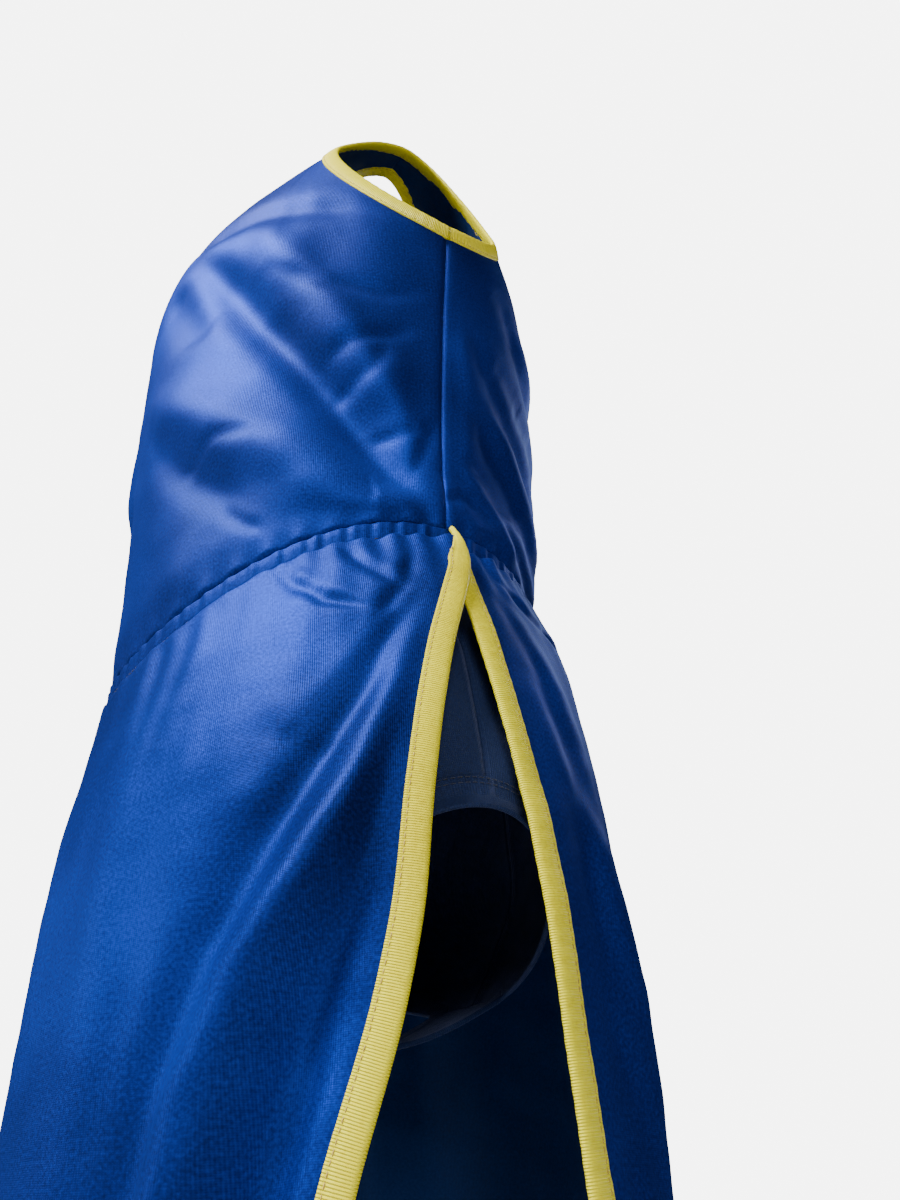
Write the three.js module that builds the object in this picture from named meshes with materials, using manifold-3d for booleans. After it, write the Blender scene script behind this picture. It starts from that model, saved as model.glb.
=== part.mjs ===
// Sleeveless costume dress with a skirt slit at both sides and shorts sewn into the waist.
// Millimetres, +Z up, the front faces -Y, +X is the wearer's left. The origin lies midway
// between the two shoulder straps, where the wearer's shoulders hold the dress up.
import * as THREE from 'three';
import { mergeVertices } from 'three/addons/utils/BufferGeometryUtils.js';
import Module from 'manifold-3d';

const wasm = await Module();
wasm.setup();

// ---- driving dimensions ----
const clothThick = 2.4;      // one layer of satin knit, drawn thick enough to be a solid
const seamGap = 0.5;         // between two pieces that are sewn edge to edge
const bindingWidth = 12;
const bindingThick = 4.8;
const strapTopDrop = 0;
const waistDrop = 423;       // strap top to waist seam, at the side
const waistDipFront = 58;    // the waist seam hangs lower in front
const waistDipBack = 12;
const waistHalfWidth = 127;
const waistFrontDepth = 126;
const waistBackDepth = 108;
const skirtLength = 600;     // waist seam to hem, at the side
const swingDrop = 160;       // waist seam to the line where a skirt panel hangs free
const underarmDrop = 185;
const neckHalfWidth = 54;
const strapWidth = 36;
const frontSlitLean = 38;    // how far each slit edge leans away from the side, degrees at hem
const backSlitLean = 18;
const frontSlitBend = 1.25;  // 1 opens the slit evenly, more opens it later
const backSlitBend = 1;
const casingHeight = 12;
const casingDepth = 5;
const casingWall = 1.2;
const elasticHeight = 8;
const elasticThick = 1.4;
const shortsInset = 9;       // shorts inside the skirt, at the waist
const shortsSideLength = 157;
const shortsBandHeight = 20;
const legBandWidth = 14;
const gussetWidth = 70;
const hemBandHeight = 16;
const zipLength = 170;
const zipSlotWidth = 9;
const labelWidth = 24;
const labelLength = 40;

// ---- the body surface ----
// Each level of a surface gives the drop below the strap tops at the side, centre front and
// centre back, then the half width, the depth in front and the depth behind.
const levelKeys = ['side', 'front', 'back', 'width', 'frontDepth', 'backDepth'];

function level(side, front, back, width, frontDepth, backDepth) {
  return { side, front, back, width, frontDepth, backDepth };
}

const waistLevel = level(
  waistDrop, waistDrop + waistDipFront, waistDrop + waistDipBack,
  waistHalfWidth, waistFrontDepth, waistBackDepth,
);
const bodiceRise = waistDrop - strapTopDrop;

function share(part) {
  return strapTopDrop + bodiceRise * part;
}

const bodiceLevels = [
  waistLevel,
  level(share(0.82), share(0.87), share(0.82), waistHalfWidth + 1, waistFrontDepth + 7, 121),
  level(share(0.63), share(0.64), share(0.62), waistHalfWidth + 7, waistFrontDepth + 14, 124),
  level(share(0.46), share(0.44), share(0.45), waistHalfWidth + 15, waistFrontDepth + 13, 112),
  level(share(0.3), share(0.265), share(0.28), waistHalfWidth + 17, waistFrontDepth - 20, 88),
  level(share(0.18), share(0.115), share(0.13), waistHalfWidth + 17, 60, 63),
  level(share(0.12), -12, -12, waistHalfWidth + 23, 0, 0),
];
const ridgeT = bodiceLevels.length - 1;

const hipDrop = waistDrop + swingDrop;
const hemDrop = waistDrop + skirtLength;
const skirtLevels = [
  waistLevel,
  level(waistDrop + 62, waistDrop + 104, waistDrop + 66, waistHalfWidth + 23, 132, 128),
  level(hipDrop, hipDrop, hipDrop, waistHalfWidth + 36, 137, 137),
  level(hipDrop + 0.35 * (hemDrop - hipDrop), hipDrop + 0.35 * (hemDrop - hipDrop),
    hipDrop + 0.35 * (hemDrop - hipDrop), waistHalfWidth + 40, 133, 140),
  level(hemDrop, hemDrop, hemDrop, waistHalfWidth + 46, 146, 148),
];

// A smooth curve through the levels; t counts levels from the first one.
function levelAt(levels, t) {
  const i = Math.min(Math.max(Math.floor(t), 0), levels.length - 2);
  const f = t - i;
  const p0 = levels[Math.max(i - 1, 0)];
  const p1 = levels[i];
  const p2 = levels[i + 1];
  const p3 = levels[Math.min(i + 2, levels.length - 1)];
  const mixed = {};
  for (const key of levelKeys) {
    const [a, b, c, d] = [p0[key], p1[key], p2[key], p3[key]];
    mixed[key] = 0.5 * (2 * b + (c - a) * f + (2 * a - 5 * b + 4 * c - d) * f * f
      + (3 * b - a - 3 * c + d) * f * f * f);
  }
  return mixed;
}

// Angle 0 is the wearer's left side, a quarter turn is the front, minus a quarter the back.
function surfacePoint(levels, t, angle) {
  const at = levelAt(levels, t);
  const across = Math.cos(angle);
  const deep = Math.sin(angle);
  const centre = deep >= 0 ? at.front : at.back;
  const depth = deep >= 0 ? at.frontDepth : at.backDepth;
  const drop = at.side + (centre - at.side) * deep * deep;
  return new THREE.Vector3(at.width * across, -depth * deep, -drop);
}

function surfaceNormal(levels, t, angle) {
  const step = 0.01;
  const here = Math.min(Math.max(t, step), levels.length - 1 - step);
  const alongAngle = surfacePoint(levels, here, angle + step)
    .sub(surfacePoint(levels, here, angle - step));
  const alongLevel = surfacePoint(levels, here + step, angle)
    .sub(surfacePoint(levels, here - step, angle));
  const normal = alongAngle.cross(alongLevel).normalize();
  const outward = new THREE.Vector3(Math.cos(angle), -Math.sin(angle), 0);
  return normal.dot(outward) < 0 ? normal.negate() : normal;
}

// ---- solids ----
function solidOf(geometry) {
  const plain = geometry.clone();
  plain.deleteAttribute('normal');
  plain.deleteAttribute('uv');
  const merged = mergeVertices(plain, 1e-4);
  return new wasm.Manifold(new wasm.Mesh({
    numProp: 3,
    vertProperties: new Float32Array(merged.attributes.position.array),
    triVerts: new Uint32Array(merged.index.array),
  }));
}

function geometryOf(solid) {
  const mesh = solid.getMesh();
  const geometry = new THREE.BufferGeometry();
  geometry.setAttribute('position', new THREE.BufferAttribute(mesh.vertProperties, 3));
  geometry.setIndex(new THREE.BufferAttribute(mesh.triVerts, 1));
  geometry.computeVertexNormals();
  return geometry;
}

function closedGeometry(points, faces) {
  const geometry = new THREE.BufferGeometry();
  const positions = points.flatMap((p) => [p.x, p.y, p.z]);
  geometry.setAttribute('position', new THREE.Float32BufferAttribute(positions, 3));
  if (volumeOf(points, faces) < 0) faces.reverse();
  geometry.setIndex(faces);
  geometry.computeVertexNormals();
  return geometry;
}

function volumeOf(points, faces) {
  let volume = 0;
  for (let i = 0; i < faces.length; i += 3) {
    const [a, b, c] = [points[faces[i]], points[faces[i + 1]], points[faces[i + 2]]];
    volume += a.dot(b.clone().cross(c)) / 6;
  }
  return volume;
}

// A curved sheet of even thickness. place(u, v) gives the surface's t and angle.
function sheetSolid(levels, place, columns, rows, inset = 0) {
  const points = [];
  for (const side of [clothThick / 2, -clothThick / 2]) {
    for (let j = 0; j <= rows; j += 1) {
      for (let i = 0; i <= columns; i += 1) {
        const { t, angle } = place(i / columns, j / rows);
        const normal = surfaceNormal(levels, t, angle);
        points.push(surfacePoint(levels, t, angle).addScaledVector(normal, side - inset));
      }
    }
  }
  const width = columns + 1;
  const layer = width * (rows + 1);
  const faces = [];
  const quad = (a, b, c, d) => faces.push(a, b, c, a, c, d);
  for (let j = 0; j < rows; j += 1) {
    for (let i = 0; i < columns; i += 1) {
      const a = j * width + i;
      quad(a, a + 1, a + 1 + width, a + width);
      quad(layer + a, layer + a + width, layer + a + 1 + width, layer + a + 1);
    }
  }
  const rim = [];
  for (let i = 0; i < columns; i += 1) rim.push(i);
  for (let j = 0; j < rows; j += 1) rim.push(j * width + columns);
  for (let i = columns; i > 0; i -= 1) rim.push(rows * width + i);
  for (let j = rows; j > 0; j -= 1) rim.push(j * width);
  rim.forEach((a, k) => {
    const b = rim[(k + 1) % rim.length];
    quad(b, a, layer + a, layer + b);
  });
  return closedGeometry(points, faces);
}

// A band swept along stations; each station has a point, an inward and an outward direction.
// The section's corners are [inward, outward] distances.
function bandSolid(stations, section, closed) {
  const points = [];
  for (const station of stations) {
    for (const [inward, outward] of section) {
      points.push(station.point.clone()
        .addScaledVector(station.inward, inward)
        .addScaledVector(station.outward, outward));
    }
  }
  const size = section.length;
  const faces = [];
  const last = closed ? stations.length : stations.length - 1;
  for (let k = 0; k < last; k += 1) {
    const next = (k + 1) % stations.length;
    for (let i = 0; i < size; i += 1) {
      const j = (i + 1) % size;
      const [a, b] = [k * size + i, k * size + j];
      const [c, d] = [next * size + j, next * size + i];
      faces.push(a, b, c, a, c, d);
    }
  }
  if (!closed) {
    const outline = section.map(([x, y]) => new THREE.Vector2(x, y));
    const end = (stations.length - 1) * size;
    for (const corners of THREE.ShapeUtils.triangulateShape(outline, [])) {
      const [a, b, c] = corners.sort((p, q) => p - q);
      faces.push(c, b, a);
      faces.push(end + a, end + b, end + c);
    }
  }
  return closedGeometry(points, faces);
}

// Stations along a line on a surface; side is +1 or -1 for which way is inward.
function stationsAlong(levels, places, side, closed) {
  const points = places.map(({ t, angle }) => surfacePoint(levels, t, angle));
  return places.map(({ t, angle }, k) => {
    const before = points[closed ? (k - 1 + points.length) % points.length : Math.max(k - 1, 0)];
    const after = points[closed ? (k + 1) % points.length : Math.min(k + 1, points.length - 1)];
    const outward = surfaceNormal(levels, t, angle);
    const tangent = after.clone().sub(before).normalize();
    const inward = tangent.cross(outward).normalize().multiplyScalar(side);
    return { point: points[k], inward, outward };
  });
}

function bindingSection(width, thick, grow = 0) {
  const half = thick / 2 + grow;
  const round = thick / 3;
  return [
    [-grow, -half + round], [round - grow, -half], [width + grow, -half],
    [width + grow, half], [round - grow, half], [-grow, half - round],
  ];
}

function range(count) {
  return Array.from({ length: count + 1 }, (_, k) => k / count);
}

function mix(a, b, f) {
  return a + (b - a) * f;
}

// The drop on a surface falls one way with t, so a bisection finds the t of a given drop.
function levelOfDrop(levels, angle, drop) {
  let [low, high] = [0, levels.length - 1];
  const rising = surfacePoint(levels, high, angle).z > surfacePoint(levels, low, angle).z;
  for (let k = 0; k < 40; k += 1) {
    const middle = (low + high) / 2;
    const above = surfacePoint(levels, middle, angle).z > -drop;
    if (above === rising) high = middle;
    else low = middle;
  }
  return (low + high) / 2;
}

// ---- edges of the bodice ----
const quarter = Math.PI / 2;
const ridgeWidth = bodiceLevels[ridgeT].width;
const underarmT = levelOfDrop(bodiceLevels, 0, underarmDrop);
const armholeAngle = Math.acos((neckHalfWidth + strapWidth) / ridgeWidth);
const neckAngle = Math.acos(neckHalfWidth / ridgeWidth);
const neckFrontT = 5.16;
const neckBackT = 5.3;
const seamAngle = seamGap / 2 / waistHalfWidth;
const ridgeStop = ridgeT - 0.012;

function armholePlace(turn) {
  return {
    t: mix(ridgeStop, underarmT, Math.cos(turn)),
    angle: armholeAngle * Math.sin(turn),
  };
}

function neckPlace(turn, back) {
  const start = back ? neckBackT : neckFrontT;
  return {
    t: mix(ridgeStop, start, Math.cos(turn)),
    angle: quarter - (quarter - neckAngle) * Math.sin(turn),
  };
}

// The top edge of half a panel from the side seam (0) to the middle (1).
function topEdge(f, back) {
  if (f < 0.45) return armholePlace((f / 0.45) * quarter);
  if (f < 0.6) {
    return { t: ridgeStop, angle: mix(armholeAngle, neckAngle, (f - 0.45) / 0.15) };
  }
  return neckPlace(((1 - f) / 0.4) * quarter, back);
}

function bottomEdge(f) {
  return { t: 0, angle: quarter * f };
}

function halfPlace(f, v, back, middleGap) {
  const top = topEdge(f, back);
  const bottom = bottomEdge(f);
  const raw = mix(bottom.angle, top.angle, v);
  const gap = middleGap / waistHalfWidth;
  return {
    t: mix(bottom.t, top.t, v),
    angle: mix(seamAngle, quarter - gap, raw / quarter),
  };
}

function mirrorAngle(place) {
  return { t: place.t, angle: Math.PI - place.angle };
}

function backAngle(place) {
  return { t: place.t, angle: -place.angle };
}

// ---- bindings of the neck and the armholes ----
function armholeLoop() {
  const front = range(14).map((f) => armholePlace(f * quarter));
  const back = front.slice(1, -1).reverse().map(backAngle);
  return [...front, ...back];
}

// The strap bends over the shoulder, so the two directions there come from its neighbours.
function smoothStations(stations) {
  return stations.map((station, k) => {
    const before = stations[(k - 1 + stations.length) % stations.length];
    const after = stations[(k + 1) % stations.length];
    return {
      point: station.point,
      inward: before.inward.clone().add(station.inward).add(after.inward).normalize(),
      outward: before.outward.clone().add(station.outward).add(after.outward).normalize(),
    };
  });
}

function faceAwayFrom(stations, middle) {
  for (const station of stations) {
    const away = station.point.clone().sub(middle);
    away.addScaledVector(station.outward, -away.dot(station.outward));
    if (station.inward.dot(away) < 0) station.inward.negate();
  }
  return smoothStations(smoothStations(stations));
}

function armholeStations(side) {
  const places = armholeLoop();
  const stations = stationsAlong(bodiceLevels, places, 1, true);
  const middle = new THREE.Vector3(ridgeWidth, 0, -share(0.22));
  const facing = faceAwayFrom(stations, middle);
  return side > 0 ? facing : facing.map(mirrorStation);
}

function mirrorVector(v) {
  return new THREE.Vector3(-v.x, v.y, v.z);
}

function mirrorStation(station) {
  return {
    point: mirrorVector(station.point),
    inward: mirrorVector(station.inward),
    outward: mirrorVector(station.outward),
  };
}

function neckStations() {
  const half = range(7).map((f) => neckPlace((1 - f) * quarter, false));
  const frontHalf = half.slice(1);
  const backHalf = range(7).map((f) => backAngle(neckPlace(f * quarter, true))).reverse();
  const left = [...frontHalf.slice().reverse(), ...backHalf];
  const loop = [...left, ...left.slice(1, -1).reverse().map(mirrorAngle)];
  const stations = stationsAlong(bodiceLevels, loop, 1, true);
  return faceAwayFrom(stations, new THREE.Vector3(0, 0, 30));
}

const bindingShape = bindingSection(bindingWidth, bindingThick);
const bindingRoom = bindingSection(bindingWidth, bindingThick, 0.35);

const armholeLeft = armholeStations(1);
const armholeRight = armholeStations(-1);
const neckLoop = neckStations();

function slotBox(width) {
  const box = new THREE.BoxGeometry(width, 120, 120);
  box.translate(0, 60 + 20, -20);
  return solidOf(box);
}

const bindingRooms = [armholeLeft, armholeRight, neckLoop]
  .map((stations) => solidOf(bandSolid(stations, bindingRoom, true)));

// Front and back pieces meet at the sides and on the shoulders, in the plane Y = 0.
function seamSlab() {
  return solidOf(new THREE.BoxGeometry(600, seamGap, 1600));
}

function trimmedToBindings(geometry) {
  let solid = solidOf(geometry).subtract(seamSlab());
  for (const room of bindingRooms) solid = solid.subtract(room);
  return keepLargest(solid);
}

function keepLargest(solid) {
  const pieces = solid.decompose();
  pieces.sort((a, b) => b.volume() - a.volume());
  return pieces[0];
}

// ---- materials ----
function finish(color, roughness, metalness = 0) {
  return new THREE.MeshStandardMaterial({ color, roughness, metalness });
}

const satin = finish(0x24489c, 0.42);
const satinInside = finish(0x1a326e, 0.6);
const yellowSatin = finish(0xe6d65a, 0.45);
const navyKnit = finish(0x1b2a5c, 0.8);
const elasticWhite = finish(0xd8d8d2, 0.8);
const labelWhite = finish(0xf0efea, 0.7);
const zipTapeBlue = finish(0x1d3a80, 0.75);
const zipNylon = finish(0x22448f, 0.5);
const zipMetal = finish(0x2b4a94, 0.35, 0.6);

const dress = new THREE.Group();

function addNode(name, geometry, material, parent = dress) {
  const mesh = new THREE.Mesh(geometry, material);
  mesh.name = name;
  parent.add(mesh);
  return mesh;
}

// ---- bodice ----
function bodiceFrontPlace(u, v) {
  const f = u < 0.5 ? 2 * u : 2 - 2 * u;
  const place = halfPlace(f, v, false, 0);
  return u < 0.5 ? place : mirrorAngle(place);
}

const bodiceFront = trimmedToBindings(sheetSolid(bodiceLevels, bodiceFrontPlace, 30, 9));
addNode('bodice_front', geometryOf(bodiceFront), satin);

const zipTopPoint = surfacePoint(bodiceLevels, neckBackT, -quarter);
const zipEndT = levelOfDrop(bodiceLevels, -quarter, -zipTopPoint.z + zipLength);
const zipEndPoint = surfacePoint(bodiceLevels, zipEndT, -quarter);
const zipAxis = zipEndPoint.clone().sub(zipTopPoint).normalize();
const zipOutward = new THREE.Vector3(0, -zipAxis.z, zipAxis.y);

// The slot that the zip lies in, cut between the two back panels.
function zipSlot() {
  const box = new THREE.BoxGeometry(zipSlotWidth, 60, zipLength + 60);
  box.translate(0, 0, -(zipLength + 60) / 2 + 54);
  box.applyQuaternion(zipTurn());
  box.translate(zipTopPoint.x, zipTopPoint.y, zipTopPoint.z);
  return solidOf(box);
}

function zipTurn() {
  const basis = new THREE.Matrix4().makeBasis(
    new THREE.Vector3(1, 0, 0), zipOutward, zipAxis.clone().negate(),
  );
  return new THREE.Quaternion().setFromRotationMatrix(basis);
}

for (const [name, side] of [['bodice_back_left', 1], ['bodice_back_right', -1]]) {
  const place = (u, v) => {
    const back = backAngle(halfPlace(u, v, true, seamGap / 2));
    return side > 0 ? back : mirrorAngle(back);
  };
  const panel = trimmedToBindings(sheetSolid(bodiceLevels, place, 15, 9));
  addNode(name, geometryOf(keepLargest(panel.subtract(zipSlot()))), satin);
}

addNode('armhole_binding_left', bandSolid(armholeLeft, bindingShape, true), yellowSatin);
addNode('armhole_binding_right', bandSolid(armholeRight, bindingShape, true), yellowSatin);
const neckRing = solidOf(bandSolid(neckLoop, bindingShape, true));
addNode('neck_binding', geometryOf(neckRing.subtract(slotBox(zipSlotWidth))), yellowSatin);

// ---- side seams: the two seam allowances, sewn together and lying inside ----
const allowanceWidth = 9;
const allowanceThick = 1.6;
const allowanceInset = clothThick / 2 + 0.9;
const allowanceTilt = 0.9;

for (const [name, side] of [['side_seam_left', 1], ['side_seam_right', -1]]) {
  const stations = range(8).map((f) => {
    const t = mix(0.1, underarmT - 0.36, f);
    const point = surfacePoint(bodiceLevels, t, 0);
    const outward = surfaceNormal(bodiceLevels, t, 0);
    return { point, inward: new THREE.Vector3(0, 1, 0), outward };
  });
  const section = [
    [0, -allowanceInset], [allowanceWidth, -allowanceInset - allowanceTilt],
    [allowanceWidth, -allowanceInset - allowanceTilt - allowanceThick],
    [0, -allowanceInset - allowanceThick],
  ];
  const placed = side > 0 ? stations : stations.map(mirrorStation);
  addNode(name, bandSolid(placed, section, false), satinInside);
}

// ---- care label, blank, sewn into the left side seam ----
const labelDrop = share(0.8);
const label = new THREE.BoxGeometry(1, labelWidth, labelLength);
label.translate(
  waistHalfWidth - allowanceInset - allowanceThick - 5.5,
  allowanceWidth / 2, -labelDrop,
);
addNode('care_label', label, labelWhite);

// ---- waist casing and its elastic ----
function waistStations(levels, drop, count) {
  const places = Array.from({ length: count }, (_, k) => {
    const angle = (k / count) * 2 * Math.PI;
    return { t: 0, angle };
  });
  return places.map(({ t, angle }) => {
    const point = surfacePoint(levels, t, angle);
    point.z -= drop;
    const radial = surfaceNormal(levels, 0.02, angle);
    radial.z = 0;
    radial.normalize();
    return { point, inward: new THREE.Vector3(0, 0, -1), outward: radial };
  });
}

const ringSteps = 44;
const casingTop = clothThick / 2 + seamGap;
const casingStations = waistStations(bodiceLevels, casingTop, ringSteps);
const casingSection = [
  [0, clothThick / 2], [casingHeight, clothThick / 2],
  [casingHeight, clothThick / 2 - casingDepth],
  [casingHeight - casingWall, clothThick / 2 - casingDepth],
  [casingHeight - casingWall, clothThick / 2 - casingWall],
  [casingWall, clothThick / 2 - casingWall],
  [casingWall, clothThick / 2 - casingDepth],
  [0, clothThick / 2 - casingDepth],
];
addNode('waist_casing', bandSolid(casingStations, casingSection, true), satin);

const elasticStart = (casingHeight - elasticHeight) / 2;
const elasticOut = clothThick / 2 - casingWall - seamGap;
const elasticSection = [
  [elasticStart, elasticOut], [elasticStart + elasticHeight, elasticOut],
  [elasticStart + elasticHeight, elasticOut - elasticThick],
  [elasticStart, elasticOut - elasticThick],
];
addNode('waist_elastic', bandSolid(casingStations, elasticSection, true), elasticWhite);

// ---- skirt ----
const casingTwist = 0.3;      // the casing's lower edge twists where it climbs to the side
const skirtTop = casingTop + casingHeight + seamGap + casingTwist;
const skirtStartT = 0;

function slitAngle(t, back) {
  const lean = THREE.MathUtils.degToRad(back ? backSlitLean : frontSlitLean);
  const bend = back ? backSlitBend : frontSlitBend;
  return seamAngle + lean * (t / (skirtLevels.length - 1)) ** bend;
}

const hemT = skirtLevels.length - 1;

function skirtPlace(back) {
  return (u, v) => {
    const t = mix(skirtStartT, hemT, v);
    const edge = slitAngle(t, back);
    const angle = mix(edge, Math.PI - edge, u);
    return { t, angle: back ? -angle : angle };
  };
}

function slitStations(back, side) {
  const places = range(18).map((f) => {
    const t = mix(skirtStartT, hemT, f);
    const angle = slitAngle(t, back) * (back ? -1 : 1);
    return { t, angle };
  });
  const stations = stationsAlong(skirtLevels, places, 1, false);
  for (const station of stations) {
    const towardsPanel = back ? 1 : -1;
    if (station.inward.y * towardsPanel < 0) station.inward.negate();
  }
  return side > 0 ? stations : stations.map(mirrorStation);
}

// Everything above the waist casing's lower edge is cut off the skirt.
function belowCasing(solid) {
  const section = [[-80, -60], [-80, 60], [seamGap, 60], [seamGap, -60]];
  const stations = waistStations(bodiceLevels, skirtTop, ringSteps);
  return solid.subtract(solidOf(bandSolid(stations, section, true)));
}

// Each panel hangs free below a line at the hips. The lower piece turns about that line,
// and the upper piece keeps a round knuckle there so that neither meets the other.
const frontAxisDepth = 101;
const backAxisDepth = 94;
const frontKnuckleRadius = 56;
const backKnuckleRadius = 64;
const knuckleGap = 0.8;

function swingCut(back, grow) {
  const depth = back ? backAxisDepth : -frontAxisDepth;
  const radius = (back ? backKnuckleRadius : frontKnuckleRadius) + grow;
  const knuckle = new THREE.CylinderGeometry(radius, radius, 600, 32);
  knuckle.rotateZ(quarter);
  knuckle.translate(0, depth, -hipDrop);
  const below = new THREE.BoxGeometry(800, 800, 800);
  below.translate(0, 0, -hipDrop - 400 - grow);
  return solidOf(below).subtract(solidOf(knuckle));
}

function splitAtSwing(solid, back) {
  const lower = solid.intersect(swingCut(back, knuckleGap / 2));
  const upper = solid.subtract(swingCut(back, -knuckleGap / 2));
  return { upper: keepLargest(upper), lower: keepLargest(lower) };
}

const hemLift = 1.2;

for (const back of [false, true]) {
  const name = back ? 'back' : 'front';
  const sides = [['left', 1], ['right', -1]];
  let panel = belowCasing(solidOf(sheetSolid(skirtLevels, skirtPlace(back), 26, 10)));
  for (const [sideName, side] of sides) {
    const stations = slitStations(back, side);
    panel = panel.subtract(solidOf(bandSolid(stations, bindingRoom, false)));
    const whole = belowCasing(solidOf(bandSolid(stations, bindingShape, false)));
    const { upper, lower } = splitAtSwing(whole, back);
    addNode(`slit_binding_${name}_${sideName}_top`, geometryOf(upper), yellowSatin);
    addNode(`slit_binding_${name}_${sideName}`, geometryOf(lower), yellowSatin);
  }
  const { upper, lower } = splitAtSwing(keepLargest(panel), back);
  addNode(`skirt_${name}_hip`, geometryOf(upper), satin);
  addNode(`skirt_${name}_panel`, geometryOf(lower), satin);
  addNode(`skirt_${name}_hem`, hemFacing(back), satinInside);
}

// The hem is turned up inside each panel.
function hemFacing(back) {
  const stations = range(20).map((u) => {
    const edge = slitAngle(hemT, back) + (bindingWidth + 2) / skirtLevels[hemT].frontDepth;
    const angle = mix(edge, Math.PI - edge, u) * (back ? -1 : 1);
    const point = surfacePoint(skirtLevels, hemT, angle);
    const outward = surfaceNormal(skirtLevels, hemT, angle);
    const inward = surfacePoint(skirtLevels, hemT - 0.1, angle).sub(point).normalize();
    return { point, inward, outward };
  });
  const inner = -clothThick / 2 - 0.5;
  const section = [
    [hemLift, inner], [hemBandHeight, inner],
    [hemBandHeight, inner - clothThick / 2], [hemLift, inner - clothThick / 2],
  ];
  return bandSolid(stations, section, false);
}

// ---- shorts ----
const shortsTop = skirtTop + 2;
const shortsStart = waistDrop + shortsTop + shortsBandHeight;
const legDrop = waistDrop + shortsSideLength;
const crotchDrop = legDrop + 52;
const shortsHalfWidth = waistHalfWidth - shortsInset;
const shortsLevels = [
  level(shortsStart, shortsStart + waistDipFront, shortsStart + waistDipBack,
    shortsHalfWidth + 8, waistFrontDepth - shortsInset - 4, waistBackDepth - shortsInset + 10),
  level(mix(shortsStart, legDrop, 0.45), mix(shortsStart, legDrop, 0.76),
    mix(shortsStart, legDrop, 0.55), shortsHalfWidth + 25, 119, 116),
  level(mix(shortsStart, legDrop, 0.8), legDrop + 6, legDrop - 4,
    shortsHalfWidth + 33, 110, 114),
  level(legDrop, crotchDrop, crotchDrop, shortsHalfWidth + 36, 76, 84),
];
const legT = shortsLevels.length - 1;
const gussetAngle = Math.acos(gussetWidth / 2 / shortsLevels[legT].width);

function gussetPoint(f, x) {
  const reach = Math.sin(gussetAngle);
  const front = -shortsLevels[legT].frontDepth * reach;
  const back = shortsLevels[legT].backDepth * reach;
  const sag = 26;
  const start = legDrop + (crotchDrop - legDrop) * reach * reach;
  return new THREE.Vector3(x, mix(front, back, f), -start - sag * Math.sin(Math.PI * f));
}

function gussetOutward(f) {
  const ahead = gussetPoint(Math.min(f + 0.01, 1), 0).sub(gussetPoint(Math.max(f - 0.01, 0), 0));
  return new THREE.Vector3(0, ahead.z, -ahead.y).normalize();
}

// The leg opening: the front panel's lower edge, the gusset's edge, the back panel's edge.
function legStations(side) {
  const front = range(9).map((f) => {
    const angle = gussetAngle * f;
    return {
      point: surfacePoint(shortsLevels, legT, angle),
      outward: surfaceNormal(shortsLevels, legT, angle),
    };
  });
  const middle = range(8).slice(1, -1).map((f) => ({
    point: gussetPoint(f, gussetWidth / 2),
    outward: gussetOutward(f),
  }));
  const back = range(9).slice(0, -1).map((f) => {
    const angle = -gussetAngle * (1 - f);
    return {
      point: surfacePoint(shortsLevels, legT, angle),
      outward: surfaceNormal(shortsLevels, legT, angle),
    };
  });
  const loop = [...front, ...middle, ...back];
  const centre = new THREE.Vector3(shortsLevels[legT].width * 0.62, 0, -legDrop - 40);
  const stations = loop.map((station, k) => {
    const before = loop[(k - 1 + loop.length) % loop.length].point;
    const after = loop[(k + 1) % loop.length].point;
    const tangent = after.clone().sub(before).normalize();
    const inward = tangent.cross(station.outward).normalize();
    return { point: station.point, outward: station.outward, inward };
  });
  const facing = faceAwayFrom(stations, centre);
  return side > 0 ? facing : facing.map(mirrorStation);
}

const legBandSection = bindingSection(legBandWidth, clothThick + 1.2);
const legBandRoom = bindingSection(legBandWidth, clothThick + 1.2, 0.35);
const legLoops = [legStations(1), legStations(-1)];
const legRooms = legLoops.map((loop) => solidOf(bandSolid(loop, legBandRoom, true)));

function trimmedToLegs(geometry, seam) {
  let solid = seam ? solidOf(geometry).subtract(seamSlab()) : solidOf(geometry);
  for (const room of legRooms) solid = solid.subtract(room);
  return keepLargest(solid);
}

for (const back of [false, true]) {
  for (const [sideName, side] of [['left', 1], ['right', -1]]) {
    const place = (u, v) => {
      const angle = mix(seamAngle, quarter - seamAngle, u) * (back ? -1 : 1);
      const placed = { t: mix(0.02, legT, v), angle };
      return side > 0 ? placed : mirrorAngle(placed);
    };
    const geometry = sheetSolid(shortsLevels, place, 9, 6);
    const name = `shorts_${back ? 'back' : 'front'}_${sideName}`;
    addNode(name, geometryOf(trimmedToLegs(geometry, true)), navyKnit);
  }
}

// The gusset joins the four shorts panels under the crotch.
const gussetStations = range(8).map((f) => {
  const inside = mix(0.035, 0.965, f);
  return {
    point: gussetPoint(inside, 0),
    inward: new THREE.Vector3(1, 0, 0),
    outward: gussetOutward(inside),
  };
});
const gussetHalf = gussetWidth / 2 - 0.5;
const gussetSection = [
  [-gussetHalf, -clothThick / 2], [gussetHalf, -clothThick / 2],
  [gussetHalf, clothThick / 2], [-gussetHalf, clothThick / 2],
];
const gusset = trimmedToLegs(bandSolid(gussetStations, gussetSection, false), false);
addNode('shorts_gusset', geometryOf(gusset), navyKnit);

legLoops.forEach((loop, k) => {
  const name = k === 0 ? 'shorts_leg_band_left' : 'shorts_leg_band_right';
  addNode(name, bandSolid(loop, legBandSection, true), navyKnit);
});

const shortsBandStations = waistStations(shortsLevels, 0, ringSteps);
const shortsBandSection = [
  [-shortsBandHeight, -clothThick / 2], [-seamGap - 1.4, -clothThick / 2],
  [-seamGap - 1.4, clothThick / 2], [-shortsBandHeight, clothThick / 2],
];
addNode('shorts_waistband', bandSolid(shortsBandStations, shortsBandSection, true), navyKnit);

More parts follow.
